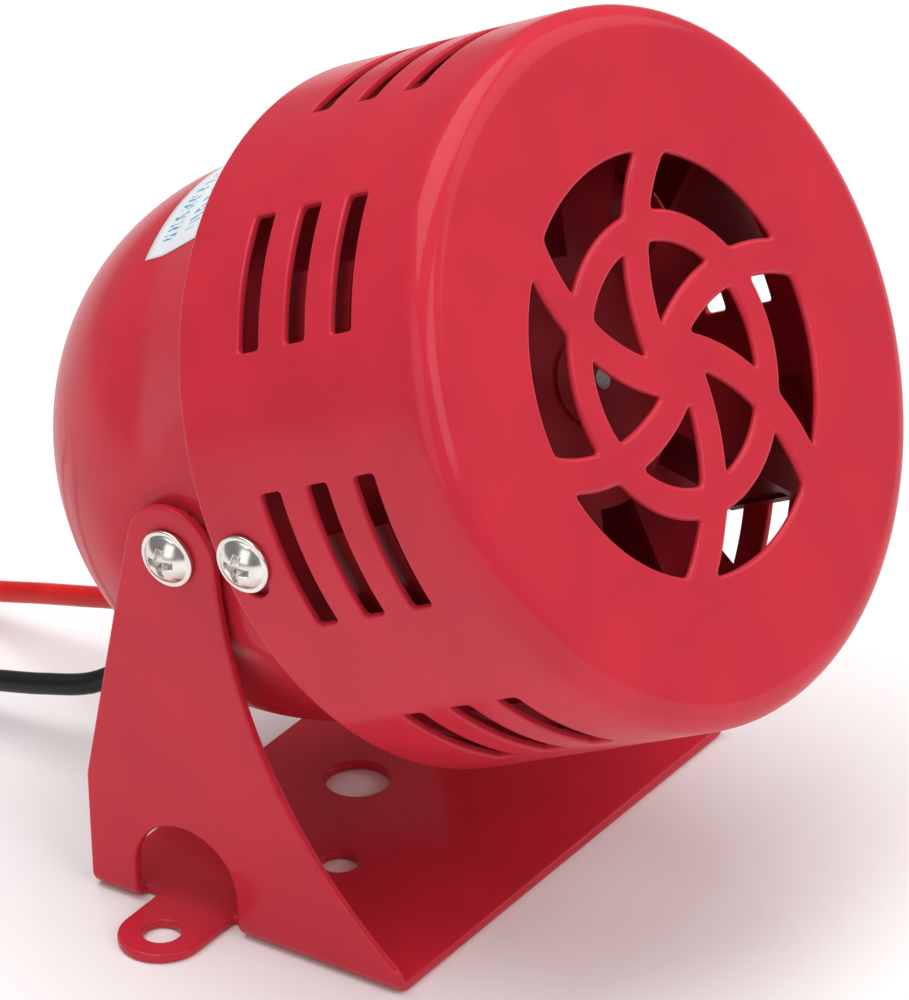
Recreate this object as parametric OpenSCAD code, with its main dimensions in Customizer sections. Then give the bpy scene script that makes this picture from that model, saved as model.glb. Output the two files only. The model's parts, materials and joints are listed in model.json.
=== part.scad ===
// Small electric motor siren: a slotted sound drum with a spinning rotor, a domed
// motor housing behind it and a U bracket that the siren tilts in. Millimetres.
// The origin is the centre of the big hole in the bracket's base, at its underside.
// +Z is up and -Y is the way the siren faces. The siren's own parts are drawn in a
// frame of their own: z forward along the siren, y up, x across, zero on the tilt axis.

/* [Bracket] */
// Width across the outsides of the two arms
bracket_w = 66.4; // [60:0.2:80]
// Thickness of the bracket's sheet
sheet = 1.2; // [0.8:0.1:1.6]
// Height of the tilt axis above the underside
pivot_h = 47.5; // [44:0.5:60]
// Front edge of the base, in front of the tilt axis
base_front = 29.2; // [24:0.2:36]
// Rear edge of the base, behind the tilt axis
base_rear = 13.4; // [12:0.2:20]
// Radius of the arms' round tops
arm_top_r = 6; // [5:0.1:7]
// Height of the upright part of the arms' rear edges
arm_heel_h = 15; // [12:0.5:20]
// Bend radius outside the sheet
bend_r = 2; // [1.8:0.1:3]
// Width of the window left by each lanced tab
window_w = 14; // [11:0.5:16]
// Height of the windows
window_h = 12; // [9:0.5:14]
// Width of the lanced tabs
tab_w = 10; // [8:0.5:10.5]
// Distance from an arm's outside to the hole in its tab
tab_reach = 4.8; // [3.8:0.1:8]
// Radius of the tab holes
tab_hole_r = 2.2; // [1.6:0.1:2.6]
// Radius of the big hole in the base
centre_hole_r = 3.7; // [2.5:0.1:5]
// Radius of the two small holes in the base
base_hole_r = 2.1; // [1.5:0.1:2.6]
// Distance between the two small holes
base_hole_pitch = 31; // [26:0.5:40]
// Distance of the small holes in front of the big one
base_hole_y = 8.5; // [7:0.5:14]

/* [Siren] */
// Tilt of the siren above level
tilt = 26; // [0:1:90]
// Outside radius of the sound drum
drum_r = 40; // [36:0.5:50]
// Wall of the drum
drum_wall = 1; // [0.8:0.1:1.5]
// Front face of the drum, ahead of the tilt axis
drum_front = 50; // [49:0.5:64]
// Rear rim of the drum, ahead of the tilt axis
drum_rear = 13.5; // [13:0.1:13.8]
// Radius of the drum's front edge
drum_edge_r = 3; // [2:0.1:5]
// Radius of the grille opening
grille_r = 23.4; // [20:0.2:28]
// Outer radius of the grille's middle ring
ring_outer_r = 17.1; // [15:0.1:18.5]
// Inner radius of the grille's middle ring
ring_inner_r = 13.5; // [11:0.1:14.5]
// Width of a grille spoke
spoke_w = 4; // [3:0.1:5]
// Number of slot groups round the drum
slot_groups = 8; // [6:1:10]
// Length of each slot, as an angle
slot_angle = 23; // [14:1:28]
// Width of each slot
slot_w = 3; // [2:0.1:4]
// Distance from one slot row to the next
slot_pitch = 6.9; // [5:0.1:8]
// Distance from the drum's front face to the first row
slot_first = 12; // [9:0.1:14]

/* [Motor housing] */
// Radius of the housing behind the drum
housing_rim_r = 35.8; // [34:0.1:36.4]
// Radius of the housing at the tilt axis
housing_r = 32.7; // [32:0.1:34]
// Length of the domed end behind the tilt axis
dome_len = 26.5; // [26:0.1:32]
// Radius of the flat at the dome's end
dome_flat_r = 14; // [12:0.5:16]
// Wall of the housing
housing_wall = 1.2; // [0.8:0.1:1.4]
// Depth of the flats pressed in the housing's sides, for the arms
flat_depth = 1.4; // [1:0.1:3]

/* [Rotor] */
// Radius of the rotor
rotor_r = 37; // [32:0.1:37.5]
// Number of rotor arms
rotor_arms = 8; // [6:1:10]
// Width of each rotor shutter, as an angle
shutter_angle = 22.5; // [16:0.5:24]
// Length of the shutters along the axis
shutter_len = 10.4; // [8:0.1:12]
// Gap between the drum's front face and the rotor
rotor_gap = 13.6; // [12:0.1:16]

/* [Motor] */
// Radius of the armature
armature_r = 13.2; // [11:0.1:14]
// Air gap between armature and poles
air_gap = 0.4; // [0.3:0.1:0.8]
// Outer radius of the stator
stator_r = 26.5; // [25:0.1:27]
// Length of the laminations
core_len = 16; // [14:0.5:17]
// Radius of the motor shaft
shaft_r = 2; // [1.6:0.1:2.2]
// Running clearance of the shaft in its bushes
bush_play = 0.04; // [0.02:0.01:0.08]

/* [Leads] */
// Diameter of each lead
lead_d = 2.6; // [2:0.1:3]

/* [Hidden] */
$fn = 64;

paint = "crimson";
nickel = "gainsboro";
steel = "silver";
copper = "chocolate";

cut = 1;              // how far a cutter runs past what it cuts
side_gap = 0.05;      // play at each side of an arm
pivot_play = 0.06;    // radial play of the pivot screws in the arms
seat = 0.05;          // clearance of one piece seated in another

// Bracket
arm_x = bracket_w / 2;
arm_in = arm_x - sheet;
tab_hole_x = arm_x + tab_reach;
flare_c = [-67, pivot_h + 3];             // centre of the arms' hollow front edges
flare_r = norm(flare_c - [0, pivot_h]) - arm_top_r;
heel = [base_rear, arm_heel_h];
to_top = [0, pivot_h] - heel;
heel_turn = atan2(to_top[1], to_top[0]) - asin(arm_top_r / norm(to_top));
heel_run = sqrt(to_top * to_top - arm_top_r * arm_top_r);
rear_tangent = heel + heel_run * [cos(heel_turn), sin(heel_turn)];
front_tangent = [0, pivot_h] + arm_top_r * (flare_c - [0, pivot_h]) / norm(flare_c - [0, pivot_h]);

// Screws: a pan head with a thin flange under it, and a cross recess
flange_r = 3.4;
flange_t = 0.7;
pan_r = 2.9;
pan_h = 1.5;
recess_w = 0.8;
recess_len = 3.4;
recess_depth = 1;
pivot_r = 2;
drum_screw_r = 1.45;
drum_screw_z = 17.3;
frame_screw_r = 1.45;
frame_screw_z = 9.7;
washer_r = 5.2;
washer_min = 0.6;
room_x = arm_in - 2 * side_gap;
pad_x = min(housing_r - flat_depth, room_x - washer_min);  // the flats, from the siren's axis
washer_t = room_x - pad_x;
nut_r = 4;
nut_t = 2.6;

// Shells in front of the housing
bulkhead_r = drum_r - drum_wall - seat;
bulkhead_wall = 1;
bulkhead_front = 20.5;
flange_out_r = bulkhead_r - bulkhead_wall - seat;
flange_front = bulkhead_front - bulkhead_wall;
screw_slot = 2.6;                          // how far the drum's screw holes run downward

// Housing
pad_front = 13.4;
cone_front = 12.5;
lead_exit_y = -18.5;                        // grommet, below the siren's axis
boss_r = 6.2;
boss_face = -25.2;
boss_t = 3.2;
grommet_r = 3.6;
grommet_flange_r = 4.8;
grommet_flange_t = 1.4;
lead_gap_x = 2;                            // each lead, left or right of the grommet's centre
lead_hole_r = lead_d / 2 + 2 * seat;
collar_r = 6.2;
bearing_r = 5;
rear_bearing_len = 4;

label_t = 0.12;
label_start = 70;
label_sweep = 49;

// Motor, from front to rear
bridge_z = 12.3;
bridge_t = 1.2;
bridge_w = 16;
bridge_boss_r = 6.5;
front_bearing_rear = 10.6;
front_bearing_front = 16.2;
core_front = 5;
core_rear = core_front - core_len;
winding_t = 3.4;
pole_t = 3.2;
coil_in = armature_r + air_gap + pole_t + 0.3;
coil_t = 4;
yoke_in = coil_in + coil_t + 0.3;
neck_w = 16;
coil_over = 3.6;                           // how far the field coils stand past the laminations
stator_bolt_x = (yoke_in + stator_r) / 2;
stator_bolt_r = 1.5;
comm_r = 6;
comm_front = core_rear - winding_t - 0.3;
comm_len = 5.4;
dome_inner_end = -dome_len + housing_wall;
rear_bearing_front = dome_inner_end + seat + rear_bearing_len;
thrust_t = 0.4;
brush_plate_t = 1.2;
brush_plate_rear = comm_front - comm_len - 0.4;
brush_plate_front = brush_plate_rear + brush_plate_t;
holder_in = 7.2;
holder_out = 15.2;
holder_w = 6.6;
holder_h = 4.4;
holder_wall = 0.5;
brush_out = 11;
brush_play = 0.1;
plate_screw_x = 17.6;
plate_screw_r = 1;
stud_r = 1.8;

// Rotor
rotor_front = drum_front - rotor_gap;
rotor_t = 1;
rotor_disc_r = 14;
shutter_first = -0.5;                      // angle at which the first shutter starts
hub_r = 4;
hub_len = 6.4;
nose_r = 1.5;
tip_r = 1.15;
tip_front = 39.2;
boss_ring_r = 4.8;
bars = 12;

// Routes of the two leads, one point after another from inside the grommet to the tip
red_route = [[2, 11.2, 21.45], [2, 14.5, 19.84], [2, 17.5, 18.38], [2.4, 21.5, 16.6], [3.2, 27, 14.6],
    [4.1, 34, 12.3], [5, 42, 9.7], [5.8, 50, 7.2], [6.4, 58, 4.7], [6.8, 66, 2.7], [7, 74, 1.6], [6.8, 82, 1.3],
    [6, 92, 1.3], [4, 102, 1.3], [1, 112, 1.3], [-2, 121, 1.3], [-4.5, 130, 1.3], [-5.5, 139, 1.3], [-5, 148, 1.3],
    [-3.2, 157, 1.3], [-0.5, 166, 1.3], [3, 174, 1.3], [7, 181, 1.3]];
black_route = [[-2, 11.2, 21.45], [-2, 14.5, 19.84], [-2.1, 17.5, 18.3], [-3.6, 21.4, 15.6], [-6.4, 25.4, 12.4],
    [-9.4, 30.5, 9.1], [-10.7, 37, 7.4], [-11.1, 44, 5.8], [-11.6, 51, 4.3], [-12.6, 58, 2.9], [-13.9, 65, 1.9],
    [-15.4, 73, 1.35], [-17.2, 82, 1.3], [-19.6, 92, 1.3], [-22.4, 102, 1.3], [-25, 112, 1.3], [-27, 121, 1.3],
    [-28, 130, 1.3], [-27.6, 139, 1.3], [-26, 148, 1.3], [-23.6, 156, 1.3], [-20.4, 164, 1.3], [-16.5, 171, 1.3]];
lead_sides = 8;
tip_len = 7;
tip_wire_r = 0.7;

// ---- Frames and shared shapes ----

// Puts what is drawn along the siren's own axis into its place above the bracket
module in_siren() {
    translate([0, 0, pivot_h]) rotate([90 - tilt, 0, 0]) children();
}

// The same thing on the near and the far side
module both_sides() {
    for (side = [-1, 1]) rotate([0, side * 90, 0]) children();
}

// Ring between two radii and two heights
module ring(r_in, r_out, z0, z1) {
    translate([0, 0, z0]) difference() {
        cylinder(h = z1 - z0, r = r_out);
        translate([0, 0, -cut]) cylinder(h = z1 - z0 + 2 * cut, r = r_in);
    }
}

// Part of a ring, from one angle over a sweep
module ring_sector(r_in, r_out, z0, z1, start, sweep) {
    rotate([0, 0, start]) translate([0, 0, z0])
        rotate_extrude(angle = sweep) translate([r_in, 0]) square([r_out - r_in, z1 - z0]);
}

module flat_ring(r_in, r_out) {
    difference() {
        circle(r = r_out);
        circle(r = r_in);
    }
}

// Flat triangle from the centre, opening over a sweep, that reaches past a radius of half its size
module wedge(size, sweep) {
    polygon([[0, 0], [size, 0], size * [cos(sweep), sin(sweep)]]);
}

// Screw along +z: the underside of its head at z = 0, its shank below
module pan_screw(shank_r, shank_len) {
    dome_r = (pan_r * pan_r + pan_h * pan_h) / (2 * pan_h);
    difference() {
        union() {
            translate([0, 0, -shank_len]) cylinder(h = shank_len, r = shank_r);
            cylinder(h = flange_t, r = flange_r);
            intersection() {
                translate([0, 0, flange_t + pan_h - dome_r]) sphere(r = dome_r);
                cylinder(h = flange_t + pan_h, r = flange_r);
            }
        }
        for (turn = [0, 90])
            rotate([0, 0, turn]) translate([-recess_len / 2, -recess_w / 2, flange_t + pan_h - recess_depth])
                cube([recess_len, recess_w, recess_depth + cut]);
    }
}

// Hexagon nut along +z from z = 0
module hex_nut(across_r, bore_r, thick) {
    difference() {
        cylinder(h = thick, r = across_r, $fn = 6);
        translate([0, 0, -cut]) cylinder(h = thick + 2 * cut, r = bore_r);
    }
}

// ---- Bracket ----

module arm_outline() {
    difference() {
        polygon([[-base_front, 0], [base_rear, 0], heel, rear_tangent, [0, pivot_h], front_tangent,
            [-base_front, front_tangent[1]]]);
        translate(flare_c) circle(r = flare_r, $fn = 200);
    }
    translate([0, pivot_h]) circle(r = arm_top_r);
    translate([-base_front, 0]) square([base_front + base_rear, bend_r]);
}

// U section of the folded sheet, seen from the front
module folded_sheet() {
    top = pivot_h + arm_top_r + cut;
    in_r = bend_r - sheet;
    difference() {
        union() {
            translate([-arm_x, bend_r]) square([2 * arm_x, top - bend_r]);
            translate([-arm_x + bend_r, 0]) square([2 * (arm_x - bend_r), bend_r + 0.1]);
            for (side = [-1, 1]) translate([side * (arm_x - bend_r), bend_r]) circle(r = bend_r);
        }
        translate([-arm_in, bend_r]) square([2 * arm_in, top]);
        translate([-arm_in + in_r, sheet]) square([2 * (arm_in - in_r), bend_r]);
        for (side = [-1, 1]) translate([side * (arm_in - in_r), bend_r]) circle(r = in_r);
    }
}

module tab(side) {
    root = arm_x - bend_r;
    translate([side > 0 ? root : -tab_hole_x, -tab_w / 2, 0]) cube([tab_hole_x - root, tab_w, sheet]);
    translate([side * tab_hole_x, 0, 0]) cylinder(h = sheet, r = tab_w / 2);
}

// Arched window that the tab was lanced from
module window_outline() {
    rise = window_h - window_w / 2;
    translate([-window_w / 2, sheet]) square([window_w, rise - sheet]);
    translate([0, rise]) circle(r = window_w / 2);
}

// An outline drawn in y and z, carried across the whole bracket
module across() {
    translate([-arm_x - cut, 0, 0]) rotate([90, 0, 90]) linear_extrude(2 * arm_x + 2 * cut) children();
}

module mounting_bracket() {
    color(paint) difference() {
        union() {
            intersection() {
                translate([0, base_rear + cut, 0]) rotate([90, 0, 0])
                    linear_extrude(base_front + base_rear + 2 * cut) folded_sheet();
                across() arm_outline();
            }
            for (side = [-1, 1]) tab(side);
        }
        intersection() {
            across() window_outline();
            translate([-arm_x - cut, -window_w, sheet]) cube([2 * arm_x + 2 * cut, 2 * window_w, window_h]);
        }
        for (side = [-1, 1]) {
            translate([side * tab_hole_x, 0, -cut]) cylinder(h = sheet + 2 * cut, r = tab_hole_r);
            translate([side * base_hole_pitch / 2, -base_hole_y, -cut])
                cylinder(h = sheet + 2 * cut, r = base_hole_r);
        }
        translate([0, 0, -cut]) cylinder(h = sheet + 2 * cut, r = centre_hole_r);
        translate([-arm_x - cut, 0, pivot_h]) rotate([0, 90, 0])
            cylinder(h = 2 * arm_x + 2 * cut, r = pivot_r + pivot_play);
    }
}

// ---- Sound drum ----

// Solid can with a rounded front edge
module rounded_can(r, z0, z1, edge_r) {
    rotate_extrude() {
        translate([0, z0]) square([r - edge_r, z1 - z0]);
        translate([0, z0]) square([r, z1 - z0 - edge_r]);
        intersection() {
            translate([r - edge_r, z1 - edge_r]) circle(r = edge_r);
            translate([0, z0]) square([r, z1 - z0]);
        }
    }
}

// One curved spoke: an arc band from the grille's middle out past its rim
module spoke() {
    centre = [9.74, 19.45];
    middle_r = 23.62;
    lean = atan2(centre[1], centre[0]);
    intersection() {
        translate(centre) difference() {
            circle(r = middle_r + spoke_w / 2);
            circle(r = middle_r - spoke_w / 2);
        }
        rotate(lean) translate([-2 * grille_r, 0]) square([4 * grille_r, 3 * grille_r]);
    }
}

module grille_openings() {
    difference() {
        circle(r = grille_r);
        difference() {
            circle(r = ring_outer_r);
            circle(r = ring_inner_r);
        }
        for (i = [0:5]) rotate(60 * i) spoke();
    }
}

module drum_cover() {
    slot_start = 90 + 1.5 - slot_angle / 2;
    in_siren() color(paint) difference() {
        rounded_can(drum_r, drum_rear, drum_front, drum_edge_r);
        rounded_can(drum_r - drum_wall, drum_rear - cut, drum_front - drum_wall, drum_edge_r - drum_wall);
        translate([0, 0, drum_front - drum_wall - cut]) linear_extrude(drum_wall + 2 * cut) grille_openings();
        for (row = [0:2], i = [0:slot_groups - 1]) {
            z = drum_front - slot_first - row * slot_pitch;
            ring_sector(drum_r - drum_wall - cut, drum_r + cut, z - slot_w / 2, z + slot_w / 2,
                slot_start + i * 360 / slot_groups, slot_angle);
        }
        translate([0, 0, drum_screw_z]) both_sides() drum_screw_slot();
    }
}

// Hole in the drum's wall, run on downward so that the drum can be turned a little
module drum_screw_slot() {
    hole_r = drum_screw_r + 0.25;
    translate([0, 0, drum_r - 3]) {
        cylinder(h = 3 + cut, r = hole_r);
        translate([0, -screw_slot, 0]) cylinder(h = 3 + cut, r = hole_r);
        translate([-hole_r, -screw_slot, 0]) cube([2 * hole_r, screw_slot, 3 + cut]);
    }
}

// Plate that closes the motor off from the drum, with a rim that the drum slides over
module front_bulkhead() {
    in_siren() color(paint) difference() {
        rounded_can(bulkhead_r, drum_rear, bulkhead_front, 1.5);
        rounded_can(bulkhead_r - bulkhead_wall, drum_rear - cut, flange_front, 0.5);
        translate([0, 0, flange_front - cut]) cylinder(h = bulkhead_wall + 2 * cut, r = shaft_r + 1.5);
        translate([0, 0, drum_screw_z]) both_sides()
            translate([0, 0, bulkhead_r - 3]) cylinder(h = 3 + cut, r = drum_screw_r + 0.15);
    }
}

module drum_screws() {
    in_siren() color(nickel) translate([0, 0, drum_screw_z]) both_sides()
        translate([0, 0, drum_r]) pan_screw(drum_screw_r, 5);
}

// ---- Motor housing ----

// Half outline of the housing, offset inward by t: rim, cone and domed end
function dome(t) = [for (a = [0:6:90])
    [dome_flat_r + (housing_r - dome_flat_r - t) * cos(a), -(dome_len - t) * sin(a)]];
function shell_points(t, front) = concat(
    [[0, front], [housing_rim_r - t, front], [housing_rim_r - t, cone_front]], dome(t), [[0, -dome_len + t]]);

module motor_housing() {
    in_siren() color(paint) difference() {
        union() {
            difference() {
                union() {
                    intersection() {
                        rotate_extrude() polygon(shell_points(0, pad_front));
                        translate([-pad_x, -drum_r, -drum_r]) cube([2 * pad_x, 2 * drum_r, 2 * drum_r]);
                    }
                    translate([0, 0, pad_front]) cylinder(h = flange_front - 0.6 - pad_front, r = flange_out_r);
                }
                intersection() {
                    rotate_extrude() polygon(shell_points(housing_wall, flange_front + cut));
                    translate([housing_wall - pad_x, -drum_r, -drum_r])
                        cube([2 * (pad_x - housing_wall), 2 * drum_r, 3 * drum_r]);
                }
            }
            ring(bearing_r + seat, collar_r, dome_inner_end - 0.1, rear_bearing_front);
            for (side = [-1, 1]) intersection() {
                translate([side * plate_screw_x, 0, -dome_len])
                    ring(plate_screw_r + seat, stud_r, 0, dome_len + brush_plate_rear);
                rotate_extrude() polygon(shell_points(0.4, 0));
            }
            intersection() {
                translate([0, lead_exit_y, boss_face]) cylinder(h = boss_t, r = boss_r);
                rotate_extrude() polygon([[0, boss_face], [27, boss_face], [27, 0], [0, 0]]);
            }
        }
        translate([0, lead_exit_y, -dome_len - cut]) cylinder(h = dome_len + boss_face + cut, r = boss_r - 0.8);
        translate([0, lead_exit_y, boss_face - cut]) cylinder(h = boss_t + 2 * cut, r = grommet_r + seat);
        both_sides() translate([0, 0, pad_x - 3]) cylinder(h = 3 + cut, r = pivot_r + seat);
        translate([0, 0, frame_screw_z]) both_sides()
            translate([0, 0, pad_x - 3]) cylinder(h = 3 + cut, r = frame_screw_r + seat);
        translate([0, 0, drum_screw_z]) both_sides()
            translate([0, 0, flange_out_r - 8]) cylinder(h = 8 + cut, r = drum_screw_r + seat);
    }
}

module frame_screws() {
    in_siren() color(nickel) translate([0, 0, frame_screw_z]) both_sides() translate([0, 0, pad_x]) {
        pan_screw(frame_screw_r, 4.6);
        difference() {
            cylinder(h = flange_t, r = flange_r);
            for (i = [0:17]) rotate([0, 0, 20 * i])
                translate([flange_r - 0.25, -0.15, flange_t - 0.3]) cube([1, 0.3, 1]);
        }
    }
}

module pivot_screws() {
    in_siren() color(nickel) both_sides() translate([0, 0, arm_x + side_gap])
        pan_screw(pivot_r, arm_x + side_gap - pad_x + housing_wall + nut_t + 0.5);
}

// Toothed washers between the arms and the housing
module pivot_washers() {
    in_siren() color(steel) both_sides() translate([0, 0, pad_x]) difference() {
        cylinder(h = washer_t, r = washer_r);
        translate([0, 0, -cut]) cylinder(h = washer_t + 2 * cut, r = pivot_r + seat);
        for (i = [0:15]) rotate([0, 0, 22.5 * i])
            translate([washer_r - 0.9, -0.4, -cut]) cube([2, 0.8, washer_t + 2 * cut]);
    }
}

module pivot_nuts() {
    in_siren() color(nickel) both_sides() translate([0, 0, pad_x - housing_wall - nut_t])
        hex_nut(nut_r, pivot_r + seat, nut_t);
}

// Rubber grommet with a hole for each lead
module cable_grommet() {
    in_siren() color("dimgray") translate([0, lead_exit_y, boss_face]) difference() {
        union() {
            translate([0, 0, -grommet_flange_t]) cylinder(h = grommet_flange_t, r = grommet_flange_r);
            cylinder(h = boss_t, r = grommet_r);
            translate([0, 0, boss_t]) cylinder(h = 0.8, r = grommet_r + 0.3);
        }
        for (side = [-1, 1]) translate([side * lead_gap_x, 0, -5]) cylinder(h = 12, r = lead_hole_r);
    }
}

// Thin printed label that follows the housing's side, from the dome over the cone
module data_label() {
    gap = 0.03;
    front = 10;
    slope = (housing_rim_r - housing_r) / cone_front;
    side = [dome(0)[1], [housing_r, 0], [housing_r + slope * front, front]];
    outline = concat([for (i = [0:2]) side[i] + [gap, 0]], [for (i = [2:-1:0]) side[i] + [gap + label_t, 0]]);
    in_siren() color("white") rotate([0, 0, label_start]) rotate_extrude(angle = label_sweep) polygon(outline);
}

// ---- Motor: what stands still ----

// Plate across the housing that holds the front bush, with ears for the side screws
module bearing_bridge() {
    ear_t = 1.5;
    ear_len = 6;
    reach = pad_x - housing_wall - seat;
    in_siren() color("darkgray") difference() {
        union() {
            translate([-reach, -bridge_w / 2, bridge_z]) cube([2 * reach, bridge_w, bridge_t]);
            for (start = [-reach, reach - ear_t]) translate([start, -bridge_w / 2, bridge_z - ear_len])
                cube([ear_t, bridge_w, ear_len + 0.1]);
            translate([0, 0, front_bearing_rear + 0.6])
                cylinder(h = front_bearing_front - front_bearing_rear - 1.2, r = bridge_boss_r);
        }
        translate([0, 0, front_bearing_rear - cut]) cylinder(h = 10, r = bearing_r + seat);
        for (side = [-1, 1]) translate([side * stator_bolt_x, 0, bridge_z - cut])
            cylinder(h = bridge_t + 2 * cut, r = stator_bolt_r + seat);
        translate([0, 0, frame_screw_z]) both_sides()
            translate([0, 0, reach - 4]) cylinder(h = 5, r = frame_screw_r + seat);
    }
}

module front_bearing() {
    in_siren() color("peru") ring(shaft_r + bush_play, bearing_r, front_bearing_rear, front_bearing_front);
}

module rear_bearing() {
    in_siren() color("peru")
        ring(shaft_r + bush_play, bearing_r, rear_bearing_front - rear_bearing_len, rear_bearing_front);
}

// Laminated two-pole stator: a yoke, and a neck with a curved shoe above and below
module stator_core() {
    pole_r = armature_r + air_gap;
    in_siren() color(steel) translate([0, 0, core_rear]) linear_extrude(core_len) difference() {
        union() {
            flat_ring(yoke_in, stator_r);
            for (side = [0, 180]) rotate(side) {
                translate([-neck_w / 2, pole_r + 1]) square([neck_w, yoke_in - pole_r]);
                rotate(40) intersection() {
                    flat_ring(pole_r, pole_r + pole_t);
                    wedge(2 * stator_r, 100);
                }
            }
        }
        for (side = [-1, 1]) translate([side * stator_bolt_x, 0]) circle(r = stator_bolt_r + seat);
    }
}

// Field coils: a curved slab round each neck, open in its middle
module field_coils() {
    gap = 0.2;
    in_siren() color(copper) for (side = [0, 180]) rotate([0, 0, side]) difference() {
        ring_sector(coil_in, coil_in + coil_t, core_rear - coil_over, core_front + coil_over, 52, 76);
        translate([-neck_w / 2 - gap, 0, core_rear - gap])
            cube([neck_w + 2 * gap, 2 * stator_r, core_len + 2 * gap]);
    }
}

module stator_bolts() {
    head_h = 2.4;
    seat_z = bridge_z + bridge_t;
    in_siren() color(steel) for (side = [-1, 1]) translate([side * stator_bolt_x, 0, seat_z]) difference() {
        union() {
            cylinder(h = head_h, r = 2.9, $fn = 6);
            translate([0, 0, core_rear - seat_z]) cylinder(h = seat_z - core_rear, r = stator_bolt_r);
        }
        translate([-3, -0.4, head_h - 0.8]) cube([6, 0.8, 2]);
    }
}

module stator_spacers() {
    in_siren() color(steel) for (side = [-1, 1]) translate([side * stator_bolt_x, 0, 0])
        ring(stator_bolt_r + seat, 2.6, core_front, bridge_z);
}

// Insulating strip that carries the brush gear, round the rear bush's collar
module brush_plate() {
    in_siren() color("saddlebrown") difference() {
        intersection() {
            translate([0, 0, brush_plate_rear]) cylinder(h = brush_plate_t, r = 20);
            translate([-25, -8.5, brush_plate_rear - cut]) cube([50, 17, brush_plate_t + 2 * cut]);
        }
        translate([0, 0, brush_plate_rear - cut]) cylinder(h = brush_plate_t + 2 * cut, r = collar_r + 0.3);
        for (side = [-1, 1]) translate([side * plate_screw_x, 0, brush_plate_rear - cut])
            cylinder(h = brush_plate_t + 2 * cut, r = plate_screw_r + seat);
    }
}

// Small screws that hold the brush plate on the housing's two studs
module brush_plate_screws() {
    in_siren() color(nickel) for (side = [-1, 1]) translate([side * plate_screw_x, 0, 0]) {
        translate([0, 0, brush_plate_front]) cylinder(h = 1.2, r = 1.9);
        translate([0, 0, brush_plate_front - 3]) cylinder(h = 3, r = plate_screw_r);
    }
}

// Rectangular brush tubes, closed at their outer ends
module brush_holders() {
    z0 = brush_plate_front;
    in_siren() color("goldenrod") for (side = [0, 180]) rotate([0, 0, side]) difference() {
        translate([holder_in, -holder_w / 2, z0]) cube([holder_out - holder_in, holder_w, holder_h]);
        translate([holder_in - cut, -holder_w / 2 + holder_wall, z0 + holder_wall])
            cube([holder_out - holder_in + cut - holder_wall, holder_w - 2 * holder_wall,
                holder_h - 2 * holder_wall]);
    }
}

module carbon_brushes() {
    w = holder_w - 2 * holder_wall - 2 * brush_play;
    h = holder_h - 2 * holder_wall - 2 * brush_play;
    z0 = brush_plate_front + holder_wall + brush_play;
    in_siren() color("darkslategray") for (side = [0, 180]) rotate([0, 0, side]) difference() {
        translate([comm_r - 1, -w / 2, z0]) cube([brush_out - comm_r + 1, w, h]);
        translate([0, 0, z0 - cut]) cylinder(h = h + 2 * cut, r = comm_r + 0.03);
    }
}

// Brush springs, each drawn as a stack of separate turns joined by a thin strip
module brush_springs() {
    turns = 5;
    wire_r = 0.22;
    spring_r = 1.35;
    length = holder_out - holder_wall - brush_out - 0.1;
    step = (length - 2 * wire_r) / (turns - 1);
    z0 = brush_plate_front + holder_h / 2;
    in_siren() color(steel) for (side = [0, 180]) rotate([0, 0, side]) translate([brush_out + 0.05, 0, z0])
        rotate([0, 90, 0]) {
            for (i = [0:turns - 1]) translate([0, 0, wire_r + i * step])
                rotate_extrude() translate([spring_r, 0]) circle(r = wire_r, $fn = 16);
            translate([spring_r - wire_r / 2, -wire_r / 2, wire_r]) cube([wire_r, wire_r, length - 2 * wire_r]);
        }
}

// ---- What spins ----

// Pressed rotor: a disc with arms, each ending in a shutter and carrying a fan blade
module rotor() {
    rear = rotor_front - shutter_len;
    web = rotor_front - rotor_t;
    wheel_in = rotor_r - rotor_t;
    in_siren() color("firebrick") difference() {
        union() {
            difference() {
                translate([0, 0, rear]) linear_extrude(shutter_len) rotor_outline();
                translate([0, 0, rear - cut]) cylinder(h = web - rear + cut, r = wheel_in);
            }
            translate([0, 0, web + 0.4]) cylinder(h = rotor_t, r = boss_ring_r);
            for (i = [0:rotor_arms - 1]) rotate([0, 0, shutter_first + i * 360 / rotor_arms])
                translate([rotor_disc_r - 1, 0.4, rear + 1])
                    cube([wheel_in - rotor_disc_r + 1.3, rotor_t, web - rear - 0.5]);
        }
        translate([0, 0, rear - cut]) cylinder(h = shutter_len + 3, r = nose_r);
    }
}

module rotor_outline() {
    circle(r = rotor_disc_r);
    for (i = [0:rotor_arms - 1]) rotate(shutter_first + i * 360 / rotor_arms) intersection() {
        circle(r = rotor_r);
        wedge(2 * rotor_r, shutter_angle);
    }
}

// Steel collar pressed on the shaft, that the rotor is riveted to
module rotor_hub() {
    front = rotor_front - rotor_t;
    in_siren() color(steel) ring(nose_r, hub_r, front - hub_len, front);
}

module motor_shaft() {
    shoulder = rotor_front - rotor_t - hub_len;
    in_siren() color(steel) {
        translate([0, 0, dome_inner_end + 0.3]) cylinder(h = shoulder - dome_inner_end - 0.3, r = shaft_r);
        translate([0, 0, shoulder]) cylinder(h = rotor_front + 0.6 - shoulder, r = nose_r);
        translate([0, 0, rotor_front]) cylinder(h = tip_front - rotor_front, r = tip_r);
    }
}

module armature_core() {
    slot_r = 1.5;
    in_siren() color("gray") difference() {
        translate([0, 0, core_rear]) cylinder(h = core_len, r = armature_r);
        translate([0, 0, core_rear - cut]) cylinder(h = core_len + 2 * cut, r = shaft_r);
        for (i = [0:bars - 1]) rotate([0, 0, i * 360 / bars]) {
            translate([armature_r - 2.6, 0, core_rear - cut]) cylinder(h = core_len + 2 * cut, r = slot_r);
            translate([armature_r - 2, -0.5, core_rear - cut]) cube([3, 1, core_len + 2 * cut]);
        }
    }
}

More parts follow.
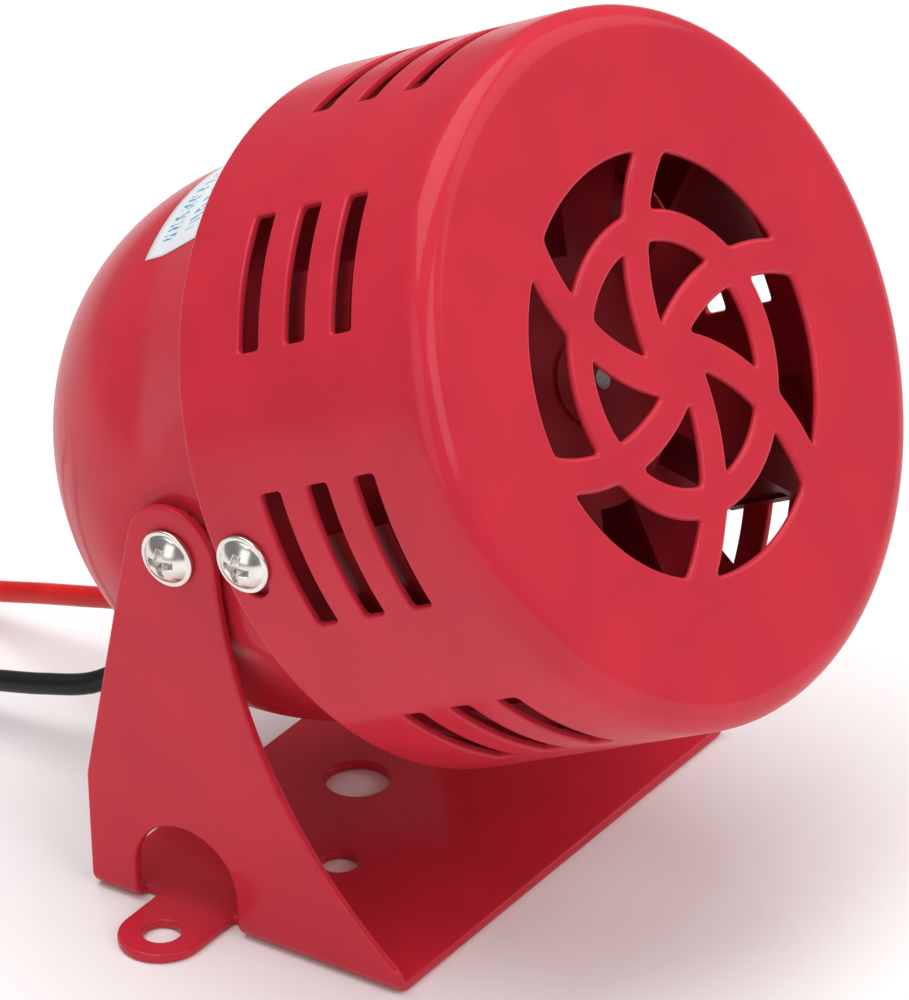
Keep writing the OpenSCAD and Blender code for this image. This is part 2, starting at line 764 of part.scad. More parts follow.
module armature_windings() {
    round_r = 1.6;
    in_siren() color(copper) {
        for (z = [core_rear - winding_t, core_front]) translate([0, 0, z]) rotate_extrude() {
            translate([3.4, 0]) square([8.2 - round_r, winding_t]);
            translate([11.6 - round_r, round_r]) circle(r = round_r);
            translate([11.6 - round_r, winding_t - round_r]) circle(r = round_r);
        }
        for (i = [0:bars - 1]) rotate([0, 0, i * 360 / bars])
            translate([armature_r - 2.6, 0, core_rear - 0.5]) cylinder(h = core_len + 1, r = 1.4);
    }
}

module commutator() {
    in_siren() color(copper) difference() {
        translate([0, 0, comm_front - comm_len]) cylinder(h = comm_len, r = comm_r);
        translate([0, 0, comm_front - comm_len - cut]) cylinder(h = comm_len + 2 * cut, r = shaft_r);
        for (i = [0:bars - 1]) rotate([0, 0, (i + 0.5) * 360 / bars])
            translate([comm_r - 0.6, -0.15, comm_front - comm_len - cut]) cube([2, 0.3, comm_len + 2 * cut]);
    }
}

module thrust_washers() {
    in_siren() color(nickel) for (z = [rear_bearing_front + 0.05, front_bearing_rear - thrust_t - 0.05])
        ring(shaft_r, 3.6, z, z + thrust_t);
}

// ---- Leads ----

function unit(v) = v / norm(v);
function heading(route, i) = unit(route[min(i + 1, len(route) - 1)] - route[max(i - 1, 0)]);
function across_of(d) = unit(cross(d, abs(d[0]) < 0.9 ? [1, 0, 0] : [0, 1, 0]));

// Points of one ring round a route, in the plane square to it
function route_ring(route, i, r) = let (d = heading(route, i), a = across_of(d), b = cross(d, a))
    [for (k = [0:lead_sides - 1]) route[i] + r * (cos(45 * k + 22.5) * a + sin(45 * k + 22.5) * b)];

module lead(route) {
    n = len(route);
    m = lead_sides;
    r = lead_d / 2;
    points = [for (i = [0:n - 1], p = route_ring(route, i, r)) p];
    sides = [for (i = [0:n - 2], k = [0:m - 1])
        [i * m + k, (i + 1) * m + k, (i + 1) * m + (k + 1) % m, i * m + (k + 1) % m]];
    polyhedron(points, concat([[for (k = [0:m - 1]) k]], sides, [[for (k = [m - 1:-1:0]) (n - 1) * m + k]]));
}

// Tinned end of a lead's wire
module lead_tip(route) {
    last = route[len(route) - 1];
    d = heading(route, len(route) - 1);
    translate(last) rotate([90, 0, atan2(d[1], d[0]) + 90]) cylinder(h = tip_len, r = tip_wire_r);
}

module red_lead() { color("red") lead(red_route); }
module black_lead() { color("black") lead(black_route); }
module red_lead_tip() { color(steel) lead_tip(red_route); }
module black_lead_tip() { color(steel) lead_tip(black_route); }

mounting_bracket();
drum_cover();
motor_housing();
front_bulkhead();
drum_screws();
frame_screws();
pivot_screws();
pivot_washers();
pivot_nuts();
bearing_bridge();
front_bearing();
rear_bearing();
stator_core();
field_coils();
stator_bolts();
stator_spacers();
brush_plate();
brush_plate_screws();
brush_holders();
carbon_brushes();
brush_springs();
cable_grommet();
data_label();
rotor();
rotor_hub();
motor_shaft();
armature_core();
armature_windings();
commutator();
thrust_washers();
red_lead();
black_lead();
red_lead_tip();
black_lead_tip();
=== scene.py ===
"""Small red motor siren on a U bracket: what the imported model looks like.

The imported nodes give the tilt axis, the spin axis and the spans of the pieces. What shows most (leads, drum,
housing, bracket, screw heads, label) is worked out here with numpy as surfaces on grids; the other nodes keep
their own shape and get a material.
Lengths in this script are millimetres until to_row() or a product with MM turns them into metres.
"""
import json
import math

import bmesh
import bpy
import numpy as np
from mathutils import Matrix, Vector
from mathutils.geometry import delaunay_2d_cdt


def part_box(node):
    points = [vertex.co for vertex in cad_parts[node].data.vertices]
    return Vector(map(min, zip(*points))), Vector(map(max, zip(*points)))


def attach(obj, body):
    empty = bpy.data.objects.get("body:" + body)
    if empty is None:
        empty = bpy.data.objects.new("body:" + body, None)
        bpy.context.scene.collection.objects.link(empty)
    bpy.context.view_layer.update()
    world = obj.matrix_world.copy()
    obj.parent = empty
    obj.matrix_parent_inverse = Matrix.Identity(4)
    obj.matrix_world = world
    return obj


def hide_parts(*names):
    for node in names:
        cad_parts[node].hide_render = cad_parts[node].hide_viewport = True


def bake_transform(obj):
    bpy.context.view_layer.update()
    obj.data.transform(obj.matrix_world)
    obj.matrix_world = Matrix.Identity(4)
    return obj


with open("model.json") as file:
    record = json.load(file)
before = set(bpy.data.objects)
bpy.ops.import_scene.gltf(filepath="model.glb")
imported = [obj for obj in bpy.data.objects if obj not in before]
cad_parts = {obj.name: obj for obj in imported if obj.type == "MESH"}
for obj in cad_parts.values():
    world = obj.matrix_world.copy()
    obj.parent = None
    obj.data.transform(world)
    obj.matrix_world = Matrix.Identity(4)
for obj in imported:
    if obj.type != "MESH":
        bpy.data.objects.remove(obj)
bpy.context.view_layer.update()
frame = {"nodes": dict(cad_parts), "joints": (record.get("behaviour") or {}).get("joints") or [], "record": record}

MM = 0.001
TURN = 2 * math.pi

# ---- Where things are, from the frame ----

joints = {j["name"]: j for j in frame["joints"]}
PIVOT_H = joints["tilt"]["pos_m"][2] / MM
FORWARD = np.array(joints["rotor_spin"]["axis"])
FORWARD = FORWARD / np.linalg.norm(FORWARD)
ACROSS = np.array([1.0, 0.0, 0.0])
UP = np.cross(FORWARD, ACROSS)
UP = UP * np.sign(UP[2])


def to_row(p):
    """Siren coordinates (across, up, forward) in mm to the row frame in metres.

    The pivot, plus x times ACROSS, y times UP and z times FORWARD."""
    p = np.asarray(p, float)
    out = p[..., :1] * ACROSS + p[..., 1:2] * UP + p[..., 2:3] * FORWARD
    return (out + np.array([0, 0, PIVOT_H])) * MM


def siren_span(node):
    """Lowest and highest corner of a CAD node in the siren's own coordinates, in mm."""
    mesh = frame["nodes"][node].data
    co = np.zeros(len(mesh.vertices) * 3, np.float32)
    mesh.vertices.foreach_get("co", co)
    p = co.reshape(-1, 3) / MM - np.array([0, 0, PIVOT_H])
    local = np.stack([p @ ACROSS, p @ UP, p @ FORWARD], axis=-1)
    return local.min(0), local.max(0)


DRUM_LOW, DRUM_HIGH = siren_span("drum_cover")
DRUM_R = DRUM_HIGH[0]
DRUM_REAR, DRUM_FRONT = DRUM_LOW[2], DRUM_HIGH[2]
PIVOT_HEAD_X = siren_span("pivot_screws")[1][0]
FRAME_LOW, FRAME_HIGH = siren_span("frame_screws")
FRAME_HEAD_X = FRAME_HIGH[0]
DRUM_SCREW_LOW, DRUM_SCREW_HIGH = siren_span("drum_screws")
DRUM_HEAD_X = DRUM_SCREW_HIGH[0]
BRACKET_LOW, BRACKET_HIGH = (np.array(c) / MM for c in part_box("mounting_bracket"))
mounts = {m["name"]: m for m in frame["record"]["mounts"]}

# ---- Camera ----

CAMERA_AZIMUTH = -54.36
CAMERA_ELEVATION = 30.14
CAMERA_ROLL = -1.64
CAMERA_DISTANCE = 862.4
CAMERA_TARGET = (0.0, 0.0, 48.8)
TARGET_OFFSET = (-11.2, -9.65)          # where the target lies from the view's axis: right, down
CAMERA_LENS = 275.98
CAMERA_SHIFT = (0.0101, 0.0060)


def make_camera():
    """Camera on a sphere round the target: azimuth turns it round Z, elevation lifts it, roll turns it."""
    az, el, roll = (math.radians(a) for a in (CAMERA_AZIMUTH, CAMERA_ELEVATION, CAMERA_ROLL))
    back = np.array([math.sin(az) * math.cos(el), -math.cos(az) * math.cos(el), math.sin(el)])
    right = np.cross(-back, [0, 0, 1])
    right = right / np.linalg.norm(right)
    up = np.cross(right, -back)
    right, up = math.cos(roll) * right + math.sin(roll) * up, math.cos(roll) * up - math.sin(roll) * right
    aside = TARGET_OFFSET[1] * up - TARGET_OFFSET[0] * right
    place = np.array(CAMERA_TARGET) + aside + CAMERA_DISTANCE * back
    data = bpy.data.cameras.new("camera")
    data.lens = CAMERA_LENS
    data.shift_x, data.shift_y = CAMERA_SHIFT
    data.clip_start, data.clip_end = 0.05, 20
    camera = bpy.data.objects.new("camera", data)
    turn = Matrix(np.stack([right, up, back], axis=1).tolist())
    camera.matrix_world = Matrix.Translation(Vector(place * MM)) @ turn.to_4x4()
    bpy.context.scene.collection.objects.link(camera)
    bpy.context.scene.camera = camera


make_camera()

# ---- Materials ----


class Finish:
    """A material being made: its node tree, its principled shader and a few short ways to add nodes."""

    def __init__(self, name):
        self.material = bpy.data.materials.new(name)
        self.material.use_nodes = True
        self.tree = self.material.node_tree
        self.shader = self.tree.nodes["Principled BSDF"]
        self.place = self.node("ShaderNodeTexCoord").outputs["Object"]

    def node(self, kind, **settings):
        made = self.tree.nodes.new(kind)
        for key, value in settings.items():
            setattr(made, key, value)
        return made

    def link(self, a, b):
        self.tree.links.new(a, b)

    def set(self, **values):
        for key, value in values.items():
            self.shader.inputs[key.replace("_", " ")].default_value = value

    def noise(self, scale, detail=2.0, roughness=0.5, stretch=None, source=None):
        """Noise of a scale in bumps a metre, stretched along the axes if asked."""
        made = self.node("ShaderNodeTexNoise")
        made.inputs["Scale"].default_value = scale
        made.inputs["Detail"].default_value = detail
        made.inputs["Roughness"].default_value = roughness
        source = source or self.place
        if stretch:
            mapping = self.node("ShaderNodeMapping")
            mapping.inputs["Scale"].default_value = stretch
            self.link(source, mapping.inputs["Vector"])
            source = mapping.outputs["Vector"]
        self.link(source, made.inputs["Vector"])
        return made.outputs["Fac"]

    def spread(self, value, low, high, start=0.3, end=0.7):
        """A value remapped from start..end to low..high."""
        made = self.node("ShaderNodeMapRange")
        for key, number in (("From Min", start), ("From Max", end), ("To Min", low), ("To Max", high)):
            made.inputs[key].default_value = number
        self.link(value, made.inputs["Value"])
        return made.outputs["Result"]

    def two_tone(self, value, dark, light, start=0.35, end=0.65):
        """Base colour that runs from dark to light with a value."""
        ramp = self.node("ShaderNodeValToRGB")
        ramp.color_ramp.elements[0].position, ramp.color_ramp.elements[1].position = start, end
        ramp.color_ramp.elements[0].color = (*dark, 1)
        ramp.color_ramp.elements[1].color = (*light, 1)
        self.link(value, ramp.inputs["Fac"])
        self.link(ramp.outputs["Color"], self.shader.inputs["Base Color"])

    def bump(self, value, height, below=None, coat=False):
        """Bump of a height in mm, on top of another bump if one is given."""
        made = self.node("ShaderNodeBump")
        made.inputs["Distance"].default_value = height * MM
        self.link(value, made.inputs["Height"])
        if below:
            self.link(below, made.inputs["Normal"])
        self.link(made.outputs["Normal"], self.shader.inputs["Normal"])
        if coat:
            self.link(made.outputs["Normal"], self.shader.inputs["Coat Normal"])
        return made.outputs["Normal"]


def shade(color, factor):
    return tuple(min(1.0, c * factor) for c in color)


def enamel(name, color, base_rough, coat_rough, peel):
    """Sprayed enamel: a coloured coat with fine grain under a clear skin with orange peel."""
    f = Finish(name)
    f.two_tone(f.noise(90, 3), shade(color, 0.94), shade(color, 1.05))
    f.set(Roughness=base_rough, Specular_IOR_Level=0.08)
    f.set(Coat_Weight=0.32, Coat_Roughness=coat_rough, Coat_IOR=1.5)
    grain = f.bump(f.noise(3600, 2), 0.010)
    f.bump(f.noise(520, 2, 0.4), peel, grain, coat=True)
    return f.material


def plated(name, color, rough, scratch=0.0):
    """Plated steel: bright, with soft cloudy roughness and a few fine scratches."""
    f = Finish(name)
    f.set(Metallic=1.0)
    cloud = f.noise(700, 4, 0.6)
    f.two_tone(cloud, shade(color, 0.86), color)
    f.link(f.spread(cloud, rough * 0.7, rough * 1.5), f.shader.inputs["Roughness"])
    if scratch:
        f.bump(f.noise(1400, 2, 0.7, stretch=(1, 9, 0.6)), scratch)
    return f.material


def turned(name, color, rough, groove):
    """Turned or ground metal: fine marks that run round the siren's axis."""
    f = Finish(name)
    f.set(Metallic=1.0)
    fine = f.noise(2500, 3, 0.6, stretch=(0.2, 1, 1))
    f.two_tone(fine, shade(color, 0.8), color)
    f.link(f.spread(fine, rough * 0.8, rough * 1.3), f.shader.inputs["Roughness"])
    f.bump(fine, groove)
    return f.material


def laminated(name, color):
    """Stacked laminations: dark lines square to the siren's axis."""
    f = Finish(name)
    f.set(Metallic=0.9, Roughness=0.42)
    wave = f.node("ShaderNodeTexWave", wave_type="BANDS", bands_direction="Z")
    mapping = f.node("ShaderNodeMapping")
    mapping.inputs["Rotation"].default_value = (math.atan2(-FORWARD[1], FORWARD[2]), 0, 0)
    f.link(f.place, mapping.inputs["Vector"])
    f.link(mapping.outputs["Vector"], wave.inputs["Vector"])
    wave.inputs["Scale"].default_value = 320
    wave.inputs["Distortion"].default_value = 0.4
    f.two_tone(wave.outputs["Fac"], shade(color, 0.45), color)
    f.bump(wave.outputs["Fac"], 0.05)
    return f.material


def wound(name, color):
    """Enamelled copper wire: fine parallel turns with a varnish gloss."""
    f = Finish(name)
    f.set(Metallic=0.85, Roughness=0.3, Coat_Weight=0.6, Coat_Roughness=0.15)
    wave = f.node("ShaderNodeTexWave", wave_type="BANDS", bands_direction="DIAGONAL")
    f.link(f.place, wave.inputs["Vector"])
    wave.inputs["Scale"].default_value = 420
    wave.inputs["Distortion"].default_value = 1.5
    f.two_tone(wave.outputs["Fac"], shade(color, 0.35), color)
    f.bump(wave.outputs["Fac"], 0.12, coat=True)
    return f.material


def moulded(name, color, rough, grain, fleck=1.12):
    """Moulded or pressed stuff: a fine matt grain and slight flecks."""
    f = Finish(name)
    fine = f.noise(2600, 3, 0.65)
    f.two_tone(fine, shade(color, 0.85), shade(color, fleck))
    f.set(Roughness=rough)
    f.bump(fine, grain)
    return f.material


def insulation(name, color):
    """PVC on a lead: a soft gloss with faint waves along it and a little dust."""
    f = Finish(name)
    f.two_tone(f.noise(260, 3), shade(color, 0.88), shade(color, 1.08))
    f.link(f.spread(f.noise(1900, 3, 0.7), 0.24, 0.42), f.shader.inputs["Roughness"])
    f.bump(f.noise(420, 2), 0.02)
    f.set(Specular_IOR_Level=0.28)
    return f.material


def printed_film(name):
    """White film with rows of generic blue marks: blocks of noise cut into rows along the label."""
    f = Finish(name)
    uv = f.node("ShaderNodeUVMap", uv_map="label").outputs["UV"]
    brick = f.node("ShaderNodeTexBrick", offset=0.37, squash=1.0)
    for key, value in (("Scale", 1.0), ("Mortar Size", 0.012), ("Mortar Smooth", 0.1),
                       ("Brick Width", 0.06), ("Row Height", 0.33)):
        brick.inputs[key].default_value = value
    brick.inputs["Color1"].default_value = (1, 1, 1, 1)
    brick.inputs["Color2"].default_value = (0.25, 0.25, 0.25, 1)
    brick.inputs["Mortar"].default_value = (0, 0, 0, 1)
    f.link(uv, brick.inputs["Vector"])
    stroke = f.node("ShaderNodeTexWave", wave_type="BANDS", bands_direction="X")
    stroke.inputs["Scale"].default_value = 9
    stroke.inputs["Distortion"].default_value = 6
    stroke.inputs["Detail"].default_value = 1
    f.link(uv, stroke.inputs["Vector"])
    part = f.node("ShaderNodeSeparateXYZ")
    f.link(uv, part.inputs["Vector"])
    lift = f.node("ShaderNodeMath", operation="SUBTRACT")
    lift.inputs[1].default_value = 0.065
    f.link(part.outputs["Y"], lift.inputs[0])
    row = f.node("ShaderNodeMath", operation="PINGPONG")
    row.inputs[1].default_value = 0.165
    f.link(lift.outputs[0], row.inputs[0])
    lines = f.spread(row.outputs[0], 0.0, 1.0, 0.065, 0.075)
    margin = f.node("ShaderNodeMath", operation="LESS_THAN")
    margin.inputs[1].default_value = 0.92
    f.link(part.outputs["X"], margin.inputs[0])
    clear = f.node("ShaderNodeMath", operation="MULTIPLY")
    f.link(lines, clear.inputs[0])
    f.link(margin.outputs[0], clear.inputs[1])
    band = clear.outputs[0]
    ink = f.node("ShaderNodeMath", operation="MULTIPLY")
    f.link(f.spread(stroke.outputs["Fac"], 0, 1, 0.42, 0.5), ink.inputs[0])
    f.link(band, ink.inputs[1])
    ink2 = f.node("ShaderNodeMath", operation="MULTIPLY")
    f.link(ink.outputs[0], ink2.inputs[0])
    f.link(f.spread(brick.outputs["Color"], 0, 1, 0.05, 0.2), ink2.inputs[1])
    f.two_tone(ink2.outputs[0], (0.83, 0.86, 0.88), (0.05, 0.36, 0.62), 0.2, 0.7)
    f.set(Roughness=0.35, Coat_Weight=0.3, Coat_Roughness=0.2)
    return f.material


CRIMSON = (0.57, 0.023, 0.043)
finishes = {
    "red_gloss_paint": enamel("red_enamel", CRIMSON, 0.42, 0.07, 0.011),
    # the rotor's red is painted darker than the drum's red: painted shade standing in for the shadow inside the
    # drum
    "rotor_paint": enamel("rotor_enamel_shade_darkened", (0.26, 0.009, 0.016), 0.5, 0.2, 0.03),
    "nickel_plate": plated("nickel_plating", (0.80, 0.77, 0.72), 0.17, 0.006),
    "zinc_steel": plated("zinc_plating", (0.62, 0.63, 0.64), 0.33, 0.01),
    "bright_steel": turned("ground_steel", (0.6, 0.6, 0.6), 0.22, 0.01),
    "bronze": turned("sintered_bronze", (0.66, 0.42, 0.2), 0.4, 0.02),
    "laminated_steel": laminated("laminations", (0.34, 0.34, 0.35)),
    "copper_wire": wound("wound_copper", (0.68, 0.24, 0.09)),
    "copper_bars": turned("commutator_copper", (0.78, 0.36, 0.2), 0.25, 0.015),
    "brass_sheet": plated("pressed_brass", (0.8, 0.58, 0.24), 0.3, 0.01),
    "phenolic": moulded("brown_board", (0.2, 0.085, 0.03), 0.5, 0.02),
    "carbon": moulded("carbon", (0.03, 0.03, 0.033), 0.55, 0.015),
    "black_rubber": moulded("black_rubber", (0.018, 0.018, 0.018), 0.62, 0.03),
    "white_label": printed_film("label_film"),
    "red_pvc": insulation("red_pvc", (0.66, 0.012, 0.012)),
    "black_pvc": insulation("black_pvc", (0.012, 0.012, 0.013)),
    "tinned_copper": turned("tinned_strands", (0.74, 0.72, 0.68), 0.3, 0.05),
}
slot_of = {s["node"]: s["material_slot"] for s in frame["record"]["subparts"]}
for node, piece in frame["nodes"].items():
    piece.data.materials.clear()
    piece.data.materials.append(finishes[slot_of[node]])

# ---- Meshes ----


def grid_faces(rows, columns, closed=True, start=0):
    """Quads of a grid of points stored row by row; a closed grid joins its last column to its first."""
    i, j = np.meshgrid(np.arange(rows - 1), np.arange(columns if closed else columns - 1), indexing="ij")
    k = (j + 1) % columns
    here, ahead = i * columns, (i + 1) * columns
    quads = np.stack([here + j, here + k, ahead + k, ahead + j], axis=-1)
    return quads.reshape(-1, 4) + start


def put_mesh(name, parts, node=None, slot=None, finish=None, uv=None):
    """One closed mesh from (points in metres, faces) parts: doubles merged, faces turned outward, smooth."""
    points, faces, start = [], [], 0
    for p, f in parts:
        p = np.asarray(p, float).reshape(-1, 3)
        points.append(p)
        faces.extend((np.asarray(f) + start).tolist())
        start += len(p)
    mesh = bpy.data.meshes.new(name)
    mesh.from_pydata(np.concatenate(points).tolist(), [], faces)
    if uv is not None:
        layer = mesh.uv_layers.new(name="label")
        corner = np.zeros(len(mesh.loops), np.int32)
        mesh.loops.foreach_get("vertex_index", corner)
        layer.data.foreach_set("uv", np.asarray(uv, np.float32)[corner].ravel())
    work = bmesh.new()
    work.from_mesh(mesh)
    bmesh.ops.remove_doubles(work, verts=work.verts, dist=0.002 * MM)
    bmesh.ops.dissolve_degenerate(work, edges=work.edges, dist=0.001 * MM)
    bmesh.ops.recalc_face_normals(work, faces=work.faces)
    work.to_mesh(mesh)
    work.free()
    mesh.shade_smooth()
    made = bpy.data.objects.new(name, mesh)
    bpy.context.scene.collection.objects.link(made)
    slot = slot or slot_of[node]
    mesh.materials.append(finish or finishes[slot])
    if node:
        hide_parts(node)
    return made


def smooth_path(points, step):
    """Points every step along a smooth curve through the given ones.

    Between each two runs a cubic, whose slopes are the chords of their neighbours."""
    p = np.asarray(points, float)
    slope = np.gradient(p, axis=0)
    u = np.linspace(0, 1, 24, endpoint=False)[:, None]
    h = (2 * u**3 - 3 * u**2 + 1, u**3 - 2 * u**2 + u, 3 * u**2 - 2 * u**3, u**3 - u**2)
    runs = h[0] * p[:-1, None] + h[1] * slope[:-1, None] + h[2] * p[1:, None] + h[3] * slope[1:, None]
    fine = np.concatenate([runs.reshape(-1, 3), p[-1:]])
    along = np.concatenate([[0], np.cumsum(np.linalg.norm(np.diff(fine, axis=0), axis=1))])
    at = np.linspace(0, along[-1], int(along[-1] / step) + 1)
    return np.stack([np.interp(at, along, fine[:, k]) for k in range(3)], axis=-1)


def tube(path, radius, sides=16):
    """Round tube: circles of a radius square to the path, closed at both ends by a shrinking last circle."""
    path = np.asarray(path, float)
    ahead = np.gradient(path, axis=0)
    ahead = ahead / np.linalg.norm(ahead, axis=1)[:, None]
    side = np.cross(ahead, [1.0, 0.0, 0.0])
    side = side / np.linalg.norm(side, axis=1)[:, None]
    over = np.cross(ahead, side)
    radii = np.broadcast_to(np.asarray(radius, float), (len(path),))
    angle = np.linspace(0, TURN, sides, endpoint=False)
    ring = np.cos(angle)[None, :, None] * side[:, None] + np.sin(angle)[None, :, None] * over[:, None]
    body = path[:, None] + radii[:, None, None] * ring
    caps = [np.broadcast_to(path[i], (1, sides, 3)) for i in (0, -1)]
    points = np.concatenate([caps[0], body, caps[1]])
    return points, grid_faces(len(path) + 2, sides)


# ---- Leads ----

LEAD_R = 1.3
TIP_WIRE_R = 0.7
TIP_LEN = 7.0
STRAND_REACH = 0.64                                 # distance of a strand from the tip's middle, in tip radii
RED_ROUTE = [[2, 11.2, 21.45], [2, 14.5, 19.84], [2, 17.5, 18.38], [2.4, 21.5, 16.6], [3.2, 27, 14.6],
             [4.1, 34, 12.3], [5, 42, 9.7], [5.8, 50, 7.2], [6.4, 58, 4.7], [6.8, 66, 2.7], [7, 74, 1.6],
             [6.8, 82, 1.3], [6, 92, 1.3], [4, 102, 1.3], [1, 112, 1.3], [-2, 121, 1.3], [-4.5, 130, 1.3],
             [-5.5, 139, 1.3], [-5, 148, 1.3], [-3.2, 157, 1.3], [-0.5, 166, 1.3], [3, 174, 1.3],
             [7, 181, 1.3]]
BLACK_ROUTE = [[-2, 11.2, 21.45], [-2, 14.5, 19.84], [-2.1, 17.5, 18.3], [-3.6, 21.4, 15.6],
               [-6.4, 25.4, 12.4],
               [-9.4, 30.5, 9.1], [-10.7, 37, 7.4], [-11.1, 44, 5.8], [-11.6, 51, 4.3], [-12.6, 58, 2.9],
               [-13.9, 65, 1.9], [-15.4, 73, 1.35], [-17.2, 82, 1.3], [-19.6, 92, 1.3], [-22.4, 102, 1.3],
               [-25, 112, 1.3], [-27, 121, 1.3], [-28, 130, 1.3], [-27.6, 139, 1.3], [-26, 148, 1.3],
               [-23.6, 156, 1.3], [-20.4, 164, 1.3], [-16.5, 171, 1.3]]


def strands(start, ahead, length, radius):
    """Bare end of a lead: seven fine strands in a slow twist, the middle one straight."""
    along = np.linspace(0, 1, 15)[:, None]
    side = np.cross(ahead, [0.0, 0.0, 1.0])
    over = np.cross(side, ahead)
    parts = [tube(start + along * length * ahead, radius / 3, 8)]
    for k in range(6):
        angle = k * TURN / 6 + 1.6 * along
        out = radius * STRAND_REACH * (np.cos(angle) * side + np.sin(angle) * over)
        centre = start + along * length * ahead + out
        parts.append(tube(centre, radius / 3, 8))
    return [(p * MM, f) for p, f in parts]


def make_lead(colour, route):
    """A lead and its bare end: a tube along the smoothed route, then strands along its last direction."""
    path = smooth_path(route, 1.0)
    skin, faces = tube(path, LEAD_R)
    lead = put_mesh(colour + "_wire", [(skin * MM, faces)], colour + "_lead")
    ahead = path[-1] - path[-2]
    ahead = ahead / np.linalg.norm(ahead)
    tip = put_mesh(colour + "_wire_end", strands(path[-1], ahead, TIP_LEN, TIP_WIRE_R), colour + "_lead_tip")
    for piece in (lead, tip):
        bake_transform(piece)


make_lead("red", RED_ROUTE)
make_lead("black", BLACK_ROUTE)

# ---- Pressed sheet: outlines with rounded rims, filled between ----

SUPPORT = 0.15            # flat strip kept beside each rounded rim


def even_outline(points, step, blur):
    """Closed outline as points every step along it, blurred along its length so that corners are round."""
    z = np.asarray(points, float) @ np.array([1, 1j])
    z = np.append(z, z[0])
    along = np.concatenate([[0], np.cumsum(np.abs(np.diff(z)))])
    at = np.linspace(0, along[-1], int(round(along[-1] / step)), endpoint=False)
    even = np.interp(at, along, z.real) + 1j * np.interp(at, along, z.imag)
    if blur:
        wave = TURN * np.fft.fftfreq(len(at), along[-1] / len(at))
        even = np.fft.ifft(np.fft.fft(even) * np.exp(-0.5 * (wave * blur) ** 2))
    area = 0.5 * np.sum((even * np.conj(np.roll(even, -1))).imag)
    even = even[::-1] if area > 0 else even
    return np.stack([even.real, even.imag], axis=-1)


def arc(centre, radius, start, end, count=24):
    """Points on a circle from one angle to another, in degrees."""
    a = np.radians(np.linspace(start, end, count))
    return np.asarray(centre) + radius * np.stack([np.cos(a), np.sin(a)], axis=-1)


def inward(outline):
    """Unit normals of an anticlockwise outline, towards its inside."""
    ahead = np.roll(outline, -1, 0) - np.roll(outline, 1, 0)
    ahead = ahead / np.linalg.norm(ahead, axis=1)[:, None]
    return np.stack([-ahead[:, 1], ahead[:, 0]], axis=-1)


def inside(points, outline):
    """Which points lie in a closed outline: those whose ray along x crosses it an odd number of times."""
    a, b = outline, np.roll(outline, -1, 0)
    x, y = points[:, 0, None], points[:, 1, None]
    spans = (a[:, 1] > y) != (b[:, 1] > y)
    rise = np.where(b[:, 1] == a[:, 1], 1e-12, b[:, 1] - a[:, 1])
    crossing = a[:, 0] + (y - a[:, 1]) * (b[:, 0] - a[:, 0]) / rise
    return (spans & (x < crossing)).sum(1) % 2 == 1


def rim_loops(outline, metal, thickness, edge, steps=4):
    """Loops from the front skin round a rim to the back skin: quarter circles of radius edge at both corners.

    metal is +1 where the sheet lies inside the outline and -1 where the outline is a hole in it."""
    normal = inward(outline) * metal
    a = np.linspace(0, math.pi / 2, steps + 1)
    into = np.concatenate([[edge + SUPPORT], edge * (1 - np.sin(a))])
    deep = np.concatenate([[0], edge * (1 - np.cos(a))])
    into = np.concatenate([into, into[::-1]])
    deep = np.concatenate([deep, thickness - deep[::-1]])
    flat = outline[None] + into[:, None, None] * normal[None]
    return np.concatenate([flat, np.broadcast_to(deep[:, None, None], (*flat.shape[:2], 1))], axis=-1)


def pressed_sheet(outlines, holes, thickness, edge, lay, fixed=(), lattice=None):
    """Sheet between outlines and holes: rounded rims, and both skins filled with triangles between the rims.

    fixed are outlines that already exist in a neighbouring grid, so they get no rim. lattice holds extra
    points, for bends. lay turns (u, v, depth) into points."""
    parts, loops, kinds = [], [], []
    for group, metal in ((outlines, 1), (holes, -1)):
        for outline in group:
            rim = rim_loops(outline, metal, thickness, edge)
            parts.append((lay(rim.reshape(-1, 3)), grid_faces(len(rim), len(outline))))
            loops.append(rim[0, :, :2])
            kinds.append(metal)
    for outline in fixed:
        loops.append(np.asarray(outline, float))
        kinds.append(1)
    if lattice is not None:
        clear = np.ones(len(lattice), bool)
        for loop, kind in zip(loops, kinds):
            clear &= inside(lattice, loop) == (kind > 0)
            gap = np.min(np.linalg.norm(lattice[:, None] - loop[None], axis=-1), axis=1)
            clear &= gap > 0.25
        lattice = lattice[clear]
    flat = np.concatenate(loops + ([lattice] if lattice is not None else []))
    starts = np.cumsum([0] + [len(x) for x in loops])
    edges = [(int(s + i), int(s + (i + 1) % n)) for s, n in zip(starts, map(len, loops)) for i in range(n)]
    made, _, faces, *_ = delaunay_2d_cdt([Vector(p) for p in flat.tolist()], edges, [], 0, 1e-6)
    made = np.array([tuple(p) for p in made])
    faces = np.array([f for f in faces if len(f) == 3])
    middle = made[faces].mean(1)
    keep = np.ones(len(faces), bool)
    for loop, kind in zip(loops, kinds):
        keep &= inside(middle, loop) == (kind > 0)
    faces = faces[keep]
    for depth, turn in ((0.0, 1), (thickness, -1)):
        skin = np.concatenate([made, np.full((len(made), 1), depth)], axis=-1)
        parts.append((lay(skin), faces[:, ::turn]))
    return parts


# ---- Sound drum ----

